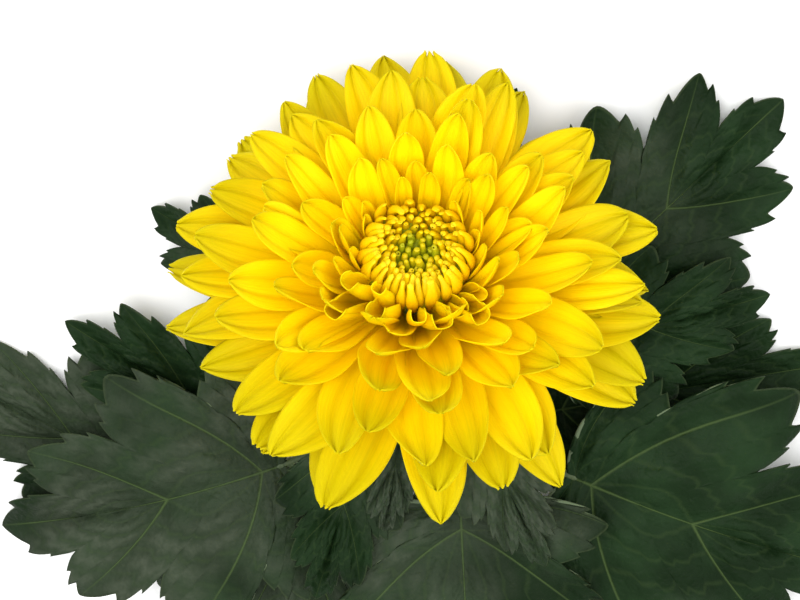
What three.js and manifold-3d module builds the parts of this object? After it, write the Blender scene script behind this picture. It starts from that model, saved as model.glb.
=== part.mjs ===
// A disbud chrysanthemum: one large yellow bloom on a leafy stem, cut and laid down on a flat surface.
// Lengths are millimetres and +Z is up. The cut stem runs back along -Y and lies on the surface,
// its neck rises to the bloom, and the bloom faces up and forward with its front petals on the surface.
// Points are worked out about the spot on the surface below the bloom, and the last lines move the
// flower so that the origin is the middle of its footprint.

import * as THREE from "three";
import { mergeVertices } from "three/addons/utils/BufferGeometryUtils.js";
import Module from "manifold-3d";

const wasm = await Module();
wasm.setup();

const DEGREE = Math.PI / 180;
const seatGap = 0.3; // what neighbouring pieces keep between them
const shortEdge = 0.012; // shorter edges left by cuts are closed up
const pointGrid = 0.002; // points of a finished piece are rounded to this
const settleSoftness = 1.2; // how gently a blade that meets the surface turns along it
const footprintCentre = { x: -3.94, y: -117.59 };

// Bloom
const bloomHeight = 45.3; // of the ring where the outer petals are rooted
const bloomTilt = 45 * DEGREE; // of the bloom's axis above the surface
const bloomTurn = 300 * DEGREE; // brings two petals down to the surface
const goldenAngle = 137.50776 * DEGREE;

// Ray petals. A list runs at even steps from the innermost petal to the outermost.
const rayCount = 136;
const rayThickness = 0.8;
const rayLength = [21, 29, 38, 45, 49.8, 50.8];
const rayWidth = [5.4, 9, 12.5, 15, 16.5, 16.5];
const rayStartAngle = [62, 48, 35, 22, 12, 4]; // degrees above the bloom's plane
const rayEndAngle = [98, 78, 56, 32, 6, -18];
const rayCurl = [175, 130, 98, 78, 64, 54]; // degrees of arc across the petal
const rayRootRadius = [9.6, 10.4];
const rayRootHeight = [5, -0.6];
const rayFirstStation = [0.48, 0.44]; // where a petal's first row of points lies along it
const rayStations = [0.76, 1]; // of the other rows
const rayTipShoulder = 0.96; // where the last row's outer points lie
const rayBendLate = 1.3; // above 1 a petal bends more towards its tip
const rayCurlTaper = [1.2, 0.65]; // share of the curl at the root and at the tip
const rayClaw = 0.34; // width at the root as a share of the full width
const rayWidest = 0.6; // where along it a petal is widest
const rayTipRoundness = 2.4;
const rayTipWidth = 0.1;
const raySpread = { lift: 4.5, azimuth: 8, end: 9, length: 0.09, width: 0.1, curl: 0.16, twist: 15, swing: 7 };
const pathSteps = 24;

// Turned profiles about the bloom's axis, as [radius, height] from axis to axis
const crownProfile = [
  [0, -1.2], [9.6, -1.2], [24, -0.8], [35, 1.4], [40, 6], [37, 14], [29, 21.5], [20, 24], [14, 20], [0, 19.5],
];
const bowlProfile = [[0, 4], [8.4, 4], [14, 15], [14, 21], [13, 27], [0, 30]];
const cushionProfile = [[0, 4], [7.8, 4], [13, 15], [12, 18.4], [8, 18], [0, 17]];
const cupProfile = [[0, -9.4], [3.6, -9.4], [7.6, -5.6], [9.4, -1.8], [0, -1.8]];
const calyxRoomProfile = [[0, -12], [6, -12], [19.5, -4.4], [19.5, -2.1], [10, -1.5], [0, -1.5]];

// Centre of the bloom. Pairs run from the middle floret to the outermost.
const floretCount = 84;
const floretRing = 12.6; // radius at which the outermost florets stand
const floretFoot = { height: 13, share: 0.94 };
const floretTipShare = 0.98;
const floretTipHeight = [20.5, 24.5];
const floretRadius = [0.7, 0.98];
const floretTaper = 0.75;
const floretSpread = { height: 0.7, radius: 0.12 };

// Bracts of the calyx, one row above the other
const bractRows = [
  { count: 8, reach: 7.5, width: 3, drop: 1.1 },
  { count: 9, reach: 10, width: 3.4, drop: 0 },
];
const bractRoot = { radius: 6.4, height: -6.2 };
const bractRise = 3.1;
const bractThickness = 0.7;

// Stem
const neckStart = { y: -6.9, z: 38.4 };
const stemRest = 4; // height of the stem's axis where it lies
const stemSettle = 34.4; // how slowly the neck comes down
const stemReach = 280;
const stemSway = 5.5;
const stemRadius = [3.1, 3.9]; // at the neck and at the cut end
const stemGroove = 0.93; // share of the radius in the grooves between the ribs
const stemSides = 10;
const stemStations = [0, 8, 17, 27, 38, 52, 70, 95, 130, 180, 230, stemReach];

// Leaves
const leafThickness = 0.8;
const petioleRadius = 1.35;
const petioleSides = 5;
const petioleRise = 3; // how far a stalk arches
// Lobes of one side of a leaf, from its base to its tip. The foot is where the lobe's vein leaves the
// midrib. Foot, reach and notch are shares of the blade's length, the notch being how far the blade
// reaches after the lobe. Angle, spread and turn are degrees from the midrib, the turn being the notch's.
const leafLobes = [
  { foot: 0.02, reach: 0.5, angle: 84, spread: [5, 6], notch: 0.36, turn: 67.5 },
  { foot: 0.07, reach: 0.65, angle: 51, spread: [9, 5], notch: 0.35, turn: 45 },
  { foot: 0.4, reach: 0.5, angle: 36, spread: [9, 3], notch: 0.24, turn: 27 },
  { foot: 0.66, reach: 0.34, angle: 0, spread: [18, 18], notch: 0, turn: 0 },
];
const leafBase = { foot: 0, angle: 102, reach: 0.1 };
const leafTip = 3.5; // the margin's place at the leaf's tip, the last lobe's middle
const lobeFlatness = [1.5, 1.3]; // of a lobe's side towards the base and of the other side
const lobeRoundness = [0.6, 0.75];
const lobeVariation = 0.09;
// Teeth stand at shares of the way from a lobe's tip to its notch, and are slighter on its far side.
const leafTeeth = [{ edge: 0.375, depth: 0.16 }, { edge: 0.708, depth: 0.13 }];
const toothShape = { drop: 0.09, run: 0.36, fading: 1.3, farSide: 0.75 };
const bladeFold = 0.16; // how steeply each half rises beside the midrib
const bladeDroop = 0.34; // how strongly it falls again towards the margin
const bladeWave = { height: 0.07, turns: 11 };

// Where each leaf leaves the stem, and the foot and tip of its blade. Breadth is a share of the
// usual one, bow is how far the midrib arches above a straight line, roll turns the blade about it
// in degrees, and fine leaves keep more points.
const leafPlan = [
  { name: "leaf_01", node: 13, foot: [45, -11, 10], tip: [94, 35, 0], breadth: 0.96, bow: 0, roll: 4, fine: true },
  { name: "leaf_02", node: 23, foot: [38, -26, 15], tip: [92, -16, 6], breadth: 0.75, bow: 3, roll: 0 },
  { name: "leaf_03", node: 64, foot: [33, -50, 4], tip: [112, -37, -1], breadth: 0.7, bow: 0, roll: 0 },
  { name: "leaf_04", node: 35, foot: [40, -61.5, 19], tip: [122, -97.5, 1], breadth: 0.88, bow: 6, roll: -3, fine: true },
  { name: "leaf_05", node: 27, foot: [11.8, -67.5, 26], tip: [16, -148, 11], breadth: 0.88, bow: 6, roll: 0, fine: true },
  { name: "leaf_06", node: 31, foot: [-34, -58, 20], tip: [-110, -83, 2], breadth: 0.92, bow: 7, roll: 3, fine: true },
  { name: "leaf_07", node: 66, foot: [-30, -76, 12], tip: [-60, -140, 1], breadth: 0.78, bow: 4, roll: -4 },
  { name: "leaf_08", node: 45, foot: [-38, -54, 9.5], tip: [-91, -24, 4.5], breadth: 0.69, bow: 3, roll: 0 },
  { name: "leaf_09", node: 99, foot: [-64, -73, 2], tip: [-130, -36, -1], breadth: 0.62, bow: 0, roll: 0 },
  { name: "leaf_10", node: 15, foot: [-26, -12, 20], tip: [-68, 6, 1], breadth: 0.75, bow: 2, roll: 0 },
  { name: "leaf_11", node: 8, foot: [11, 5, 18], tip: [26, 38, 0.4], breadth: 0.48, bow: 0, roll: 0 },
  { name: "leaf_12", node: 18, foot: [-13, -43, 32], tip: [-26, -93, 27], breadth: 0.66, bow: 4, roll: 5 },
  { name: "leaf_13", node: 6, foot: [-3, -34, 42], tip: [-8, -70, 36], breadth: 0.48, bow: 3, roll: -6 },
  { name: "leaf_14", node: 9, foot: [15, -36, 38], tip: [34, -82, 31], breadth: 0.53, bow: 3, roll: 0 },
  { name: "leaf_15", node: 131, foot: [30, -150, 6], tip: [96, -190, -1], breadth: 0.79, bow: 3, roll: 0 },
  { name: "leaf_16", node: 159, foot: [-22, -178, 6], tip: [-88, -206, -1], breadth: 0.79, bow: 3, roll: 0 },
];

// The bloom's own frame: X across, Y towards its front edge, Z along its axis
const axis = new THREE.Vector3(0, Math.cos(bloomTilt), Math.sin(bloomTilt));
const front = new THREE.Vector3(0, Math.sin(bloomTilt), -Math.cos(bloomTilt));
const across = new THREE.Vector3().crossVectors(front, axis);
const bloomFrame = new THREE.Matrix4().makeBasis(across, front, axis).setPosition(0, 0, bloomHeight);

/** A repeatable number from -1 to 1 for draw `k` of piece `i`. */
function draw(i, k) {
  const wave = Math.sin(i * 12.9898 + k * 78.233 + 4.7) * 43758.5453;
  return 2 * (wave - Math.floor(wave)) - 1;
}

const mix = (a, b, share) => a + (b - a) * share;

/** The value at `share`, from 0 to 1, of a list whose entries lie at even steps. */
function along(list, share) {
  const at = Math.min(Math.max(share, 0), 1) * (list.length - 1);
  const low = Math.min(Math.floor(at), list.length - 2);
  return mix(list[low], list[low + 1], at - low);
}

/** A share eased in and out. */
function smooth(share) {
  const x = Math.min(Math.max(share, 0), 1);
  return x * x * (3 - 2 * x);
}

/** Height `z` of a blade's middle, kept above the surface it lies on. */
function settle(z, thickness) {
  const above = z - thickness / 2;
  return thickness / 2 + (above + Math.hypot(above, settleSoftness)) / 2;
}

/** A solid from points and triangles. */
function solidOf(points, triangles) {
  const flat = new Float32Array(points.flatMap((p) => [p.x, p.y, p.z]));
  const geometry = new THREE.BufferGeometry();
  geometry.setAttribute("position", new THREE.BufferAttribute(flat, 3));
  geometry.setIndex(triangles.flat());
  const merged = mergeVertices(geometry, 1e-3);
  const vertProperties = merged.attributes.position.array;
  return new wasm.Manifold(new wasm.Mesh({ numProp: 3, vertProperties, triVerts: new Uint32Array(merged.index.array) }));
}

/** The geometry of a solid's main body, without scraps, sealed hollows and slivers. */
function geometryOf(solid) {
  const main = solid.decompose().reduce((a, b) => (b.volume() > a.volume() ? b : a));
  const mesh = main.simplify(shortEdge).getMesh();
  const flat = new Float32Array(mesh.numVert * 3);
  for (let i = 0; i < mesh.numVert; i++) {
    const start = i * mesh.numProp;
    flat.set(mesh.vertProperties.subarray(start, start + 3), i * 3);
  }
  const rounded = flat.map((value) => Math.round(value / pointGrid) * pointGrid);
  const geometry = new THREE.BufferGeometry();
  geometry.setAttribute("position", new THREE.BufferAttribute(rounded, 3));
  geometry.setIndex(new THREE.BufferAttribute(mesh.triVerts, 1));
  const merged = mergeVertices(geometry, pointGrid / 4);
  merged.setIndex(wholeTriangles(withoutShortEdges(merged)));
  const finished = mergeVertices(merged.toNonIndexed(), pointGrid / 4);
  finished.computeVertexNormals();
  return finished;
}

/** A geometry's index with the ends of its short edges made one. */
function withoutShortEdges(geometry) {
  const index = geometry.index.array;
  const pointAt = (i) => new THREE.Vector3().fromBufferAttribute(geometry.attributes.position, index[i]);
  const joined = Array.from({ length: geometry.attributes.position.count }, (_, i) => i);
  const kept = (i) => (joined[i] === i ? i : kept(joined[i]));
  for (let i = 0; i < index.length; i++) {
    const next = i % 3 === 2 ? i - 2 : i + 1;
    if (pointAt(i).distanceTo(pointAt(next)) < shortEdge) joined[kept(index[i])] = kept(index[next]);
  }
  return index.map((i) => kept(i));
}

/** The triangles of an index that have three different corners. */
function wholeTriangles(index) {
  const kept = [];
  for (let i = 0; i < index.length; i += 3) {
    const [a, b, c] = index.slice(i, i + 3);
    if (a !== b && b !== c && c !== a) kept.push(a, b, c);
  }
  return kept;
}

/** A closed body through rings of equally many points, with a flat cap at each end. */
function loft(rings) {
  const sides = rings[0].length;
  const triangles = [];
  for (let row = 0; row + 1 < rings.length; row++) {
    for (let side = 0; side < sides; side++) {
      const a = row * sides + side;
      const b = row * sides + ((side + 1) % sides);
      triangles.push([a, b, b + sides], [a, b + sides, a + sides]);
    }
  }
  const last = (rings.length - 1) * sides;
  for (let side = 1; side + 1 < sides; side++) {
    triangles.push([0, side + 1, side], [last, last + side, last + side + 1]);
  }
  return solidOf(rings.flat(), triangles);
}

/** Triangles of a sheet of rows that hold `columns` points each. */
function sheetTriangles(rows, columns) {
  const triangles = [];
  for (let row = 0; row + 1 < rows; row++) {
    for (let column = 0; column + 1 < columns; column++) {
      const a = row * columns + column;
      triangles.push([a, a + 1, a + columns + 1], [a, a + columns + 1, a + columns]);
    }
  }
  return triangles;
}

/** A solid blade of even thickness about a sheet of points and triangles. */
function thicken(points, triangles, thickness) {
  const normals = points.map(() => new THREE.Vector3());
  const edges = new Map();
  for (const [a, b, c] of triangles) {
    const face = points[b].clone().sub(points[a]).cross(points[c].clone().sub(points[a]));
    [a, b, c].forEach((corner) => normals[corner].add(face));
    for (const [from, to] of [[a, b], [b, c], [c, a]]) edges.set(`${from}_${to}`, [from, to]);
  }
  normals.forEach((normal) => normal.normalize().multiplyScalar(thickness / 2));
  const count = points.length;
  const upper = points.map((p, i) => p.clone().add(normals[i]));
  const lower = points.map((p, i) => p.clone().sub(normals[i]));
  const faces = [...triangles];
  triangles.forEach(([a, b, c]) => faces.push([a + count, c + count, b + count]));
  for (const [from, to] of edges.values()) {
    if (edges.has(`${to}_${from}`)) continue;
    faces.push([to, from, from + count], [to, from + count, to + count]);
  }
  return solidOf([...upper, ...lower], faces);
}

/** A turned solid about the bloom's axis, its profile grown outwards by `gap`. */
function turned(profile, segments, gap = 0) {
  const outline = profile.map(([radius, height]) => new THREE.Vector2(radius ? radius + gap : 0, height));
  const lathe = new THREE.LatheGeometry(outline, segments);
  lathe.deleteAttribute("normal");
  lathe.deleteAttribute("uv");
  lathe.rotateX(Math.PI / 2).translate(0, 0, -gap).applyMatrix4(bloomFrame);
  const merged = mergeVertices(lathe, 1e-3);
  const points = [];
  for (let i = 0; i < merged.attributes.position.count; i++) {
    points.push(new THREE.Vector3().fromBufferAttribute(merged.attributes.position, i));
  }
  return solidOf(points, wholeTriangles(merged.index.array));
}

/** Share of a petal's full width at `share` of its length. */
function petalOutline(share) {
  const opening = rayClaw + (1 - rayClaw) * smooth(share / rayWidest);
  const closing = Math.max(0, (share - rayWidest) / (1 - rayWidest));
  return opening * Math.max(rayTipWidth, Math.sqrt(Math.max(0, 1 - closing ** rayTipRoundness)));
}

/** Shape of ray petal `i`, counted from the centre outwards. Angles are radians. */
function rayShape(i) {
  const share = (i + 0.5) / rayCount;
  const lift = draw(i, 1) * raySpread.lift;
  return {
    azimuth: bloomTurn + i * goldenAngle + draw(i, 2) * raySpread.azimuth * DEGREE,
    rootRadius: along(rayRootRadius, share),
    rootHeight: along(rayRootHeight, share),
    startAngle: (along(rayStartAngle, share) + lift) * DEGREE,
    endAngle: (along(rayEndAngle, share) + lift + draw(i, 3) * raySpread.end) * DEGREE,
    length: along(rayLength, share) * (1 + draw(i, 4) * raySpread.length),
    width: along(rayWidth, share) * (1 + draw(i, 5) * raySpread.width),
    curl: along(rayCurl, share) * (1 + draw(i, 6) * raySpread.curl) * DEGREE,
    twist: draw(i, 7) * raySpread.twist * DEGREE,
    swing: draw(i, 8) * raySpread.swing * DEGREE,
  };
}

/** Radius, height and angle along a petal's middle line, in the bloom's frame. */
function petalPath(shape) {
  const step = shape.length / pathSteps;
  const path = [];
  let radius = shape.rootRadius;
  let height = shape.rootHeight;
  for (let i = 0; i <= pathSteps; i++) {
    const angle = mix(shape.startAngle, shape.endAngle, (i / pathSteps) ** rayBendLate);
    path.push({ radius, height, angle });
    radius += Math.cos(angle) * step;
    height += Math.sin(angle) * step;
  }
  return path;
}

/** The point of a petal at `share` of its length and `column`, from -1 to 1, across it. */
function petalPoint(shape, path, share, column) {
  const at = path[Math.round(share * pathSteps)];
  const azimuth = shape.azimuth + shape.swing * share * share;
  const outward = new THREE.Vector3(Math.sin(azimuth), Math.cos(azimuth), 0);
  const forward = outward.clone().multiplyScalar(Math.cos(at.angle)).setZ(Math.sin(at.angle));
  const turn = shape.twist * share;
  const side = new THREE.Vector3(Math.cos(azimuth), -Math.sin(azimuth), 0).applyAxisAngle(forward, turn);
  const rise = outward.clone().multiplyScalar(-Math.sin(at.angle)).setZ(Math.cos(at.angle));
  rise.applyAxisAngle(forward, turn);
  const curl = shape.curl * mix(...rayCurlTaper, share);
  const bend = (shape.width * petalOutline(share)) / curl;
  const point = outward
    .multiplyScalar(at.radius)
    .setZ(at.height)
    .addScaledVector(side, bend * Math.sin((column * curl) / 2))
    .addScaledVector(rise, bend * (1 - Math.cos((column * curl) / 2)))
    .applyMatrix4(bloomFrame);
  point.z = settle(point.z, rayThickness);
  return point;
}

/** One ray petal: a cupped blade of three columns. */
function rayPetal(i) {
  const shape = rayShape(i);
  const path = petalPath(shape);
  const stations = [along(rayFirstStation, i / rayCount), ...rayStations];
  const points = stations.flatMap((station) =>
    [-1, 0, 1].map((column) => petalPoint(shape, path, station === 1 && column ? rayTipShoulder : station, column)),
  );
  return thicken(points, sheetTriangles(stations.length, 3), rayThickness);
}

/** Ray petals, rooted in a low crown that they stand out of. */
function makeRays() {
  const petals = Array.from({ length: rayCount }, (_, i) => rayPetal(i));
  const bloom = wasm.Manifold.union([turned(crownProfile, 24), ...petals]);
  return geometryOf(bloom.subtract(turned(bowlProfile, 24, seatGap)).subtract(turned(calyxRoomProfile, 24)));
}

/** One quilled floret of the centre, a slim tapered rod. */
function centreFloret(i) {
  const share = (i + 0.5) / floretCount;
  const azimuth = i * goldenAngle;
  const ring = floretRing * Math.sqrt(share);
  const thick = mix(...floretRadius, share) * (1 + draw(i, 12) * floretSpread.radius);
  const tip = mix(...floretTipHeight, share) + draw(i, 11) * floretSpread.height;
  const ends = [
    { radius: ring * floretFoot.share, height: floretFoot.height, size: thick },
    { radius: ring * floretTipShare, height: tip, size: thick * floretTaper },
  ];
  return loft(
    ends.map(({ radius, height, size }) =>
      [0, 1, 2, 3].map((corner) => {
        const turn = (corner * Math.PI) / 2 + azimuth;
        const x = Math.sin(azimuth) * radius + Math.cos(turn) * size;
        const y = Math.cos(azimuth) * radius + Math.sin(turn) * size;
        return new THREE.Vector3(x, y, height).applyMatrix4(bloomFrame);
      }),
    ),
  );
}

/** The bloom's centre: packed florets on a domed cushion. */
function makeCentre() {
  const florets = Array.from({ length: floretCount }, (_, i) => centreFloret(i));
  return geometryOf(wasm.Manifold.union([turned(cushionProfile, 16), ...florets]));
}

/** One green bract, a small pointed scale that leaves the cup and lies under the petals. */
function bract({ count, reach, width, drop }, row, i) {
  const azimuth = ((i + row / 2) / count) * 2 * Math.PI;
  const points = [0, 0.6, 1].flatMap((share) =>
    [-1, 1].map((column) => {
      const radius = bractRoot.radius + reach * share;
      const half = (column * width * (share === 1 ? 0.3 : 1)) / 2;
      const x = Math.sin(azimuth) * radius + Math.cos(azimuth) * half;
      const y = Math.cos(azimuth) * radius - Math.sin(azimuth) * half;
      const z = bractRoot.height + bractRise * share ** 0.8 - drop * share;
      return new THREE.Vector3(x, y, z).applyMatrix4(bloomFrame);
    }),
  );
  return thicken(points, sheetTriangles(3, 2), bractThickness);
}

/** Calyx: the green cup at the top of the stem with its rows of bracts. */
function makeCalyx() {
  const bracts = bractRows.flatMap((shape, row) =>
    Array.from({ length: shape.count }, (_, i) => bract(shape, row, i)),
  );
  return geometryOf(wasm.Manifold.union([turned(cupProfile, 12), ...bracts]));
}

/** Point of the stem's axis at `reach` back from the neck, from 0 to stemReach. */
function stemPoint(reach) {
  return new THREE.Vector3(
    stemSway * Math.sin((reach / stemReach) * Math.PI),
    neckStart.y - reach,
    stemRest + (neckStart.z - stemRest) * Math.exp(-reach / stemSettle),
  );
}

/** A ring of the stem at `reach`, `grow` wider than the stem and ribbed if that is 0. */
function stemRing(reach, grow) {
  const heading = stemPoint(reach + 0.5).sub(stemPoint(reach - 0.5)).normalize();
  const level = new THREE.Vector3(0, 0, 1).cross(heading).normalize();
  const up = heading.clone().cross(level);
  const radius = mix(...stemRadius, reach / stemReach) + grow;
  return Array.from({ length: stemSides }, (_, side) => {
    const turn = ((side + 0.5) / stemSides) * 2 * Math.PI;
    const size = radius * (grow > 0 || side % 2 ? 1 : stemGroove);
    return stemPoint(reach)
      .addScaledVector(level, Math.cos(turn) * size)
      .addScaledVector(up, Math.sin(turn) * size);
  });
}

/** The stem, or the room it takes up with a gap of `grow` round it. */
const stemSolid = (grow) => loft(stemStations.map((reach) => stemRing(reach, grow)));

/** What a leaf's margin has at a notch or end beside lobe `index`. */
function marginLimit(index, towardsTip) {
  const lobe = leafLobes[index];
  const other = leafLobes[towardsTip ? index + 1 : index - 1];
  if (!other) return towardsTip ? { foot: lobe.foot, angle: lobe.angle, reach: 0 } : leafBase;
  const { notch, turn } = towardsTip ? lobe : other;
  return { foot: mix(lobe.foot, other.foot, 0.5), angle: turn, reach: notch };
}

/** How deeply the margin is cut after its teeth, as a share of its reach. */
function toothCut(edge) {
  return leafTeeth.reduce((cut, tooth) => {
    const past = Math.max(0, tooth.edge - edge);
    const fading = Math.max(0, 1 - past / toothShape.run) ** toothShape.fading;
    return cut + tooth.depth * Math.min(1, past / toothShape.drop) * fading;
  }, 0);
}

/** Foot, angle and reach of a leaf's margin at `place`, from 0 at its base to leafTip. */
function leafMargin(place, seed, side) {
  const index = Math.min(Math.floor(place), leafLobes.length - 1);
  const lobe = leafLobes[index];
  const x = 2 * (place - index) - 1;
  const edge = Math.abs(x);
  const far = x > 0 ? 1 : 0;
  const limit = marginLimit(index, x > 0);
  const own = lobe.reach * (1 + (lobe.notch ? draw(seed * 7 + index, side + 20) * lobeVariation : 0));
  const cut = toothCut(edge) * (far ? toothShape.farSide : 1);
  const rounding = Math.max(0, 1 - edge ** lobeFlatness[far]) ** lobeRoundness[far];
  return {
    foot: mix(lobe.foot, limit.foot, edge),
    angle: (mix(lobe.angle, limit.angle, edge ** 3) - lobe.spread[far] * Math.sin(Math.PI * x)) * DEGREE,
    reach: (limit.reach + (own - limit.reach) * rounding) * (1 - cut),
  };
}

/** Places along the margin, from the base to the tip, at which a leaf has points. */
function marginPlaces(fine) {
  const offsets = fine ? [0, 0.3125, 0.36, 0.5, 0.64, 0.6875] : [0, 0.3125, 0.5, 0.6875];
  return leafLobes.flatMap((_, lobe) => offsets.map((offset) => lobe + offset)).filter((place) => place <= leafTip);
}

/** A leaf's midrib from foot to tip, bowed upwards. */
function midribOf(leaf) {
  const foot = new THREE.Vector3(...leaf.foot);
  const tip = new THREE.Vector3(...leaf.tip);
  const middle = foot.clone().lerp(tip, 0.5).add(new THREE.Vector3(0, 0, 2 * leaf.bow));
  return new THREE.QuadraticBezierCurve3(foot, middle, tip);
}

/** The point of a bent blade at x along and y across its flat shape, both shares of its length. */
function bladePoint(leaf, seed, x, y) {
  const midrib = midribOf(leaf);
  const length = midrib.v0.distanceTo(midrib.v2);
  const at = Math.min(Math.max(x, 0), 1);
  const ahead = midrib.getTangent(at);
  const level = new THREE.Vector3(0, 0, 1).cross(ahead).normalize().applyAxisAngle(ahead, leaf.roll * DEGREE);
  const up = ahead.clone().cross(level);
  const breadth = Math.abs(y);
  const phase = draw(seed, 31) * Math.PI + (y > 0 ? Math.PI / 2 : 0);
  const wave = bladeWave.height * breadth * Math.sin(x * bladeWave.turns + phase);
  const lift = bladeFold * breadth - bladeDroop * breadth * breadth + wave;
  const point = midrib
    .getPoint(at)
    .addScaledVector(ahead, (x - at) * length)
    .addScaledVector(level, y * length)
    .addScaledVector(up, lift * length);
  point.z = settle(point.z, leafThickness);
  return point;
}

/** A leaf's blade: a lobed and toothed sheet of even thickness, bent to its place. */
function leafBlade(leaf, seed) {
  const places = marginPlaces(leaf.fine);
  const shares = leaf.fine ? [0, 0.55, 1] : [0, 1];
  const points = [];
  const triangles = [];
  const addPoint = (x, y) => points.push(bladePoint(leaf, seed, x, y)) - 1;
  const spine = places.map((place) => addPoint(leafMargin(place, seed, 1).foot, 0));
  const tipFoot = leafMargin(leafTip, seed, 1).foot;
  const tipRow = shares.map((share) => (share ? addPoint(mix(tipFoot, 1, share), 0) : spine[places.length - 1]));
  for (const side of [-1, 1]) {
    const rows = places.map((place, row) => {
      if (place === leafTip) return tipRow;
      const { foot, angle, reach } = leafMargin(place, seed, side);
      const across = side * leaf.breadth * Math.sin(angle) * reach;
      return shares.map((share) => (share ? addPoint(foot + Math.cos(angle) * reach * share, across * share) : spine[row]));
    });
    for (let row = 0; row + 1 < rows.length; row++) {
      for (let column = 0; column + 1 < shares.length; column++) {
        const [a, d] = rows[row].slice(column);
        const [b, c] = rows[row + 1].slice(column);
        const faces = [[a, b, c], [a, c, d]];
        triangles.push(...(side > 0 ? faces : faces.map(([p, q, r]) => [p, r, q])));
      }
    }
  }
  return thicken(points, triangles, leafThickness);
}

/** A leaf's stalk, from inside the stem to under the blade's midrib. */
function petiole(leaf, seed) {
  const start = stemPoint(leaf.node);
  const midrib = midribOf(leaf);
  const entry = midrib.v0.clone().addScaledVector(midrib.getTangent(0), -6);
  const arch = start.clone().lerp(entry, 0.45).add(new THREE.Vector3(0, 0, petioleRise));
  const stalk = new THREE.CatmullRomCurve3([start, arch, entry, bladePoint(leaf, seed, 0.05, 0)]);
  const rings = [0, 0.3, 0.7, 1].map((share) => {
    const ahead = stalk.getTangentAt(share);
    const level = new THREE.Vector3(0, 0, 1).cross(ahead).normalize();
    const up = ahead.clone().cross(level);
    const radius = petioleRadius * mix(1.3, 0.7, share);
    return Array.from({ length: petioleSides }, (_, side) => {
      const turn = (side / petioleSides) * 2 * Math.PI;
      const point = stalk
        .getPointAt(share)
        .addScaledVector(level, Math.cos(turn) * radius)
        .addScaledVector(up, Math.sin(turn) * radius);
      point.z = Math.max(point.z, 0);
      return point;
    });
  });
  return loft(rings);
}

/** One leaf: its blade and its stalk, ending just clear of the stem. */
function makeLeaf(leaf, seed, stemRoom) {
  return geometryOf(leafBlade(leaf, seed).add(petiole(leaf, seed)).subtract(stemRoom));
}

const petalYellow = new THREE.MeshStandardMaterial({ color: 0xf2d400, roughness: 0.6, metalness: 0 });
const centreGreen = new THREE.MeshStandardMaterial({ color: 0xc8c21a, roughness: 0.6, metalness: 0 });
const calyxGreen = new THREE.MeshStandardMaterial({ color: 0x6e7f3a, roughness: 0.7, metalness: 0 });
const stemGreen = new THREE.MeshStandardMaterial({ color: 0x5f7438, roughness: 0.65, metalness: 0 });
const leafGreen = new THREE.MeshStandardMaterial({ color: 0x2f3f2b, roughness: 0.6, metalness: 0 });

const flower = new THREE.Group();

/** Adds a named piece to the flower. */
function addPiece(name, geometry, material) {
  const mesh = new THREE.Mesh(geometry, material);
  mesh.name = name;
  flower.add(mesh);
}

addPiece("ray_petals", makeRays(), petalYellow);
addPiece("centre_florets", makeCentre(), centreGreen);
addPiece("calyx", makeCalyx(), calyxGreen);
addPiece("stem", geometryOf(stemSolid(0)), stemGreen);
const stemRoom = stemSolid(seatGap);
leafPlan.forEach((leaf, seed) => addPiece(leaf.name, makeLeaf(leaf, seed, stemRoom), leafGreen));

flower.position.set(-footprintCentre.x, -footprintCentre.y, 0);

export default flower;
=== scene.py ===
"""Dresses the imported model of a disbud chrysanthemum: one large yellow bloom on a leafy cut stem.

The flower lies on a pale surface. Its shapes are worked out in millimetres about the spot on the
surface below the bloom, by the same rules as its solids, and are moved to the frame's own place
and to metres when a piece is made.
"""

import logging
import math
from dataclasses import dataclass, replace
from enum import Enum, IntEnum
from typing import Any, Mapping, Sequence, Union

import bpy
import numpy as np
from mathutils import Matrix, Vector


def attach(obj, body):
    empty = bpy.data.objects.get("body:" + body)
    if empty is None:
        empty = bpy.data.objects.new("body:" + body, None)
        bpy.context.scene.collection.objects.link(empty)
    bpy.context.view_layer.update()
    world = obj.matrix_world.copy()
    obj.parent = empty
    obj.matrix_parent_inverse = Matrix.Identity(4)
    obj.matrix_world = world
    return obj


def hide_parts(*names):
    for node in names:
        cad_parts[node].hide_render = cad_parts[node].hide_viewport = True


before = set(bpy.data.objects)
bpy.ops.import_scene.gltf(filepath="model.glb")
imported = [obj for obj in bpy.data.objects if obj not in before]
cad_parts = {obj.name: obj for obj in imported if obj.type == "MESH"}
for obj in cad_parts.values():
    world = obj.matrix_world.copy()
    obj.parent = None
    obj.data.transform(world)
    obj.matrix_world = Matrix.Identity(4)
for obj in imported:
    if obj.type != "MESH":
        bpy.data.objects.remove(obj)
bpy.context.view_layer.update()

LOG = logging.getLogger("chrysanthemum")

MM = 0.001
FLOWER_PLACE = np.array((3.94, 117.59, 0.0))  # of the spot below the bloom, in the frame
SETTLE_SOFTNESS = 1.2  # how gently a blade that meets the surface turns along it
SEAM = 0.004  # how far apart the points that a seam joins may lie
GOLDEN_ANGLE = math.radians(137.50776)
DRAW_TURNS = (12.9898, 78.233, 4.7)  # of a piece's number, of a key, and to start with
DRAW_HEIGHT = 43758.5453
PLACE_DIGITS = 6  # to which places along a leaf's margin are told apart
CURVE_END = 1.05  # how far a curve is followed, where its last knot lies at 1
CURVE_STEP = 0.01  # along a curve, for its heading
PROFILE_ROWS = 4  # of faces between two points of a turned form's outline
BLOOM_HEIGHT = 45.3
BLOOM_TILT = math.radians(45)
UP = np.array((0.0, 0.0, 1.0))
BLOOM_ACROSS = np.array((1.0, 0.0, 0.0))
BLOOM_FRONT = np.array((0.0, math.sin(BLOOM_TILT), -math.cos(BLOOM_TILT)))
BLOOM_AXIS = np.array((0.0, math.cos(BLOOM_TILT), math.sin(BLOOM_TILT)))

Number = Union[int, float, "Value"]
Range = tuple[float, float]
Triple = tuple[float, float, float]
Colour = tuple[float, float, float]


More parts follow.
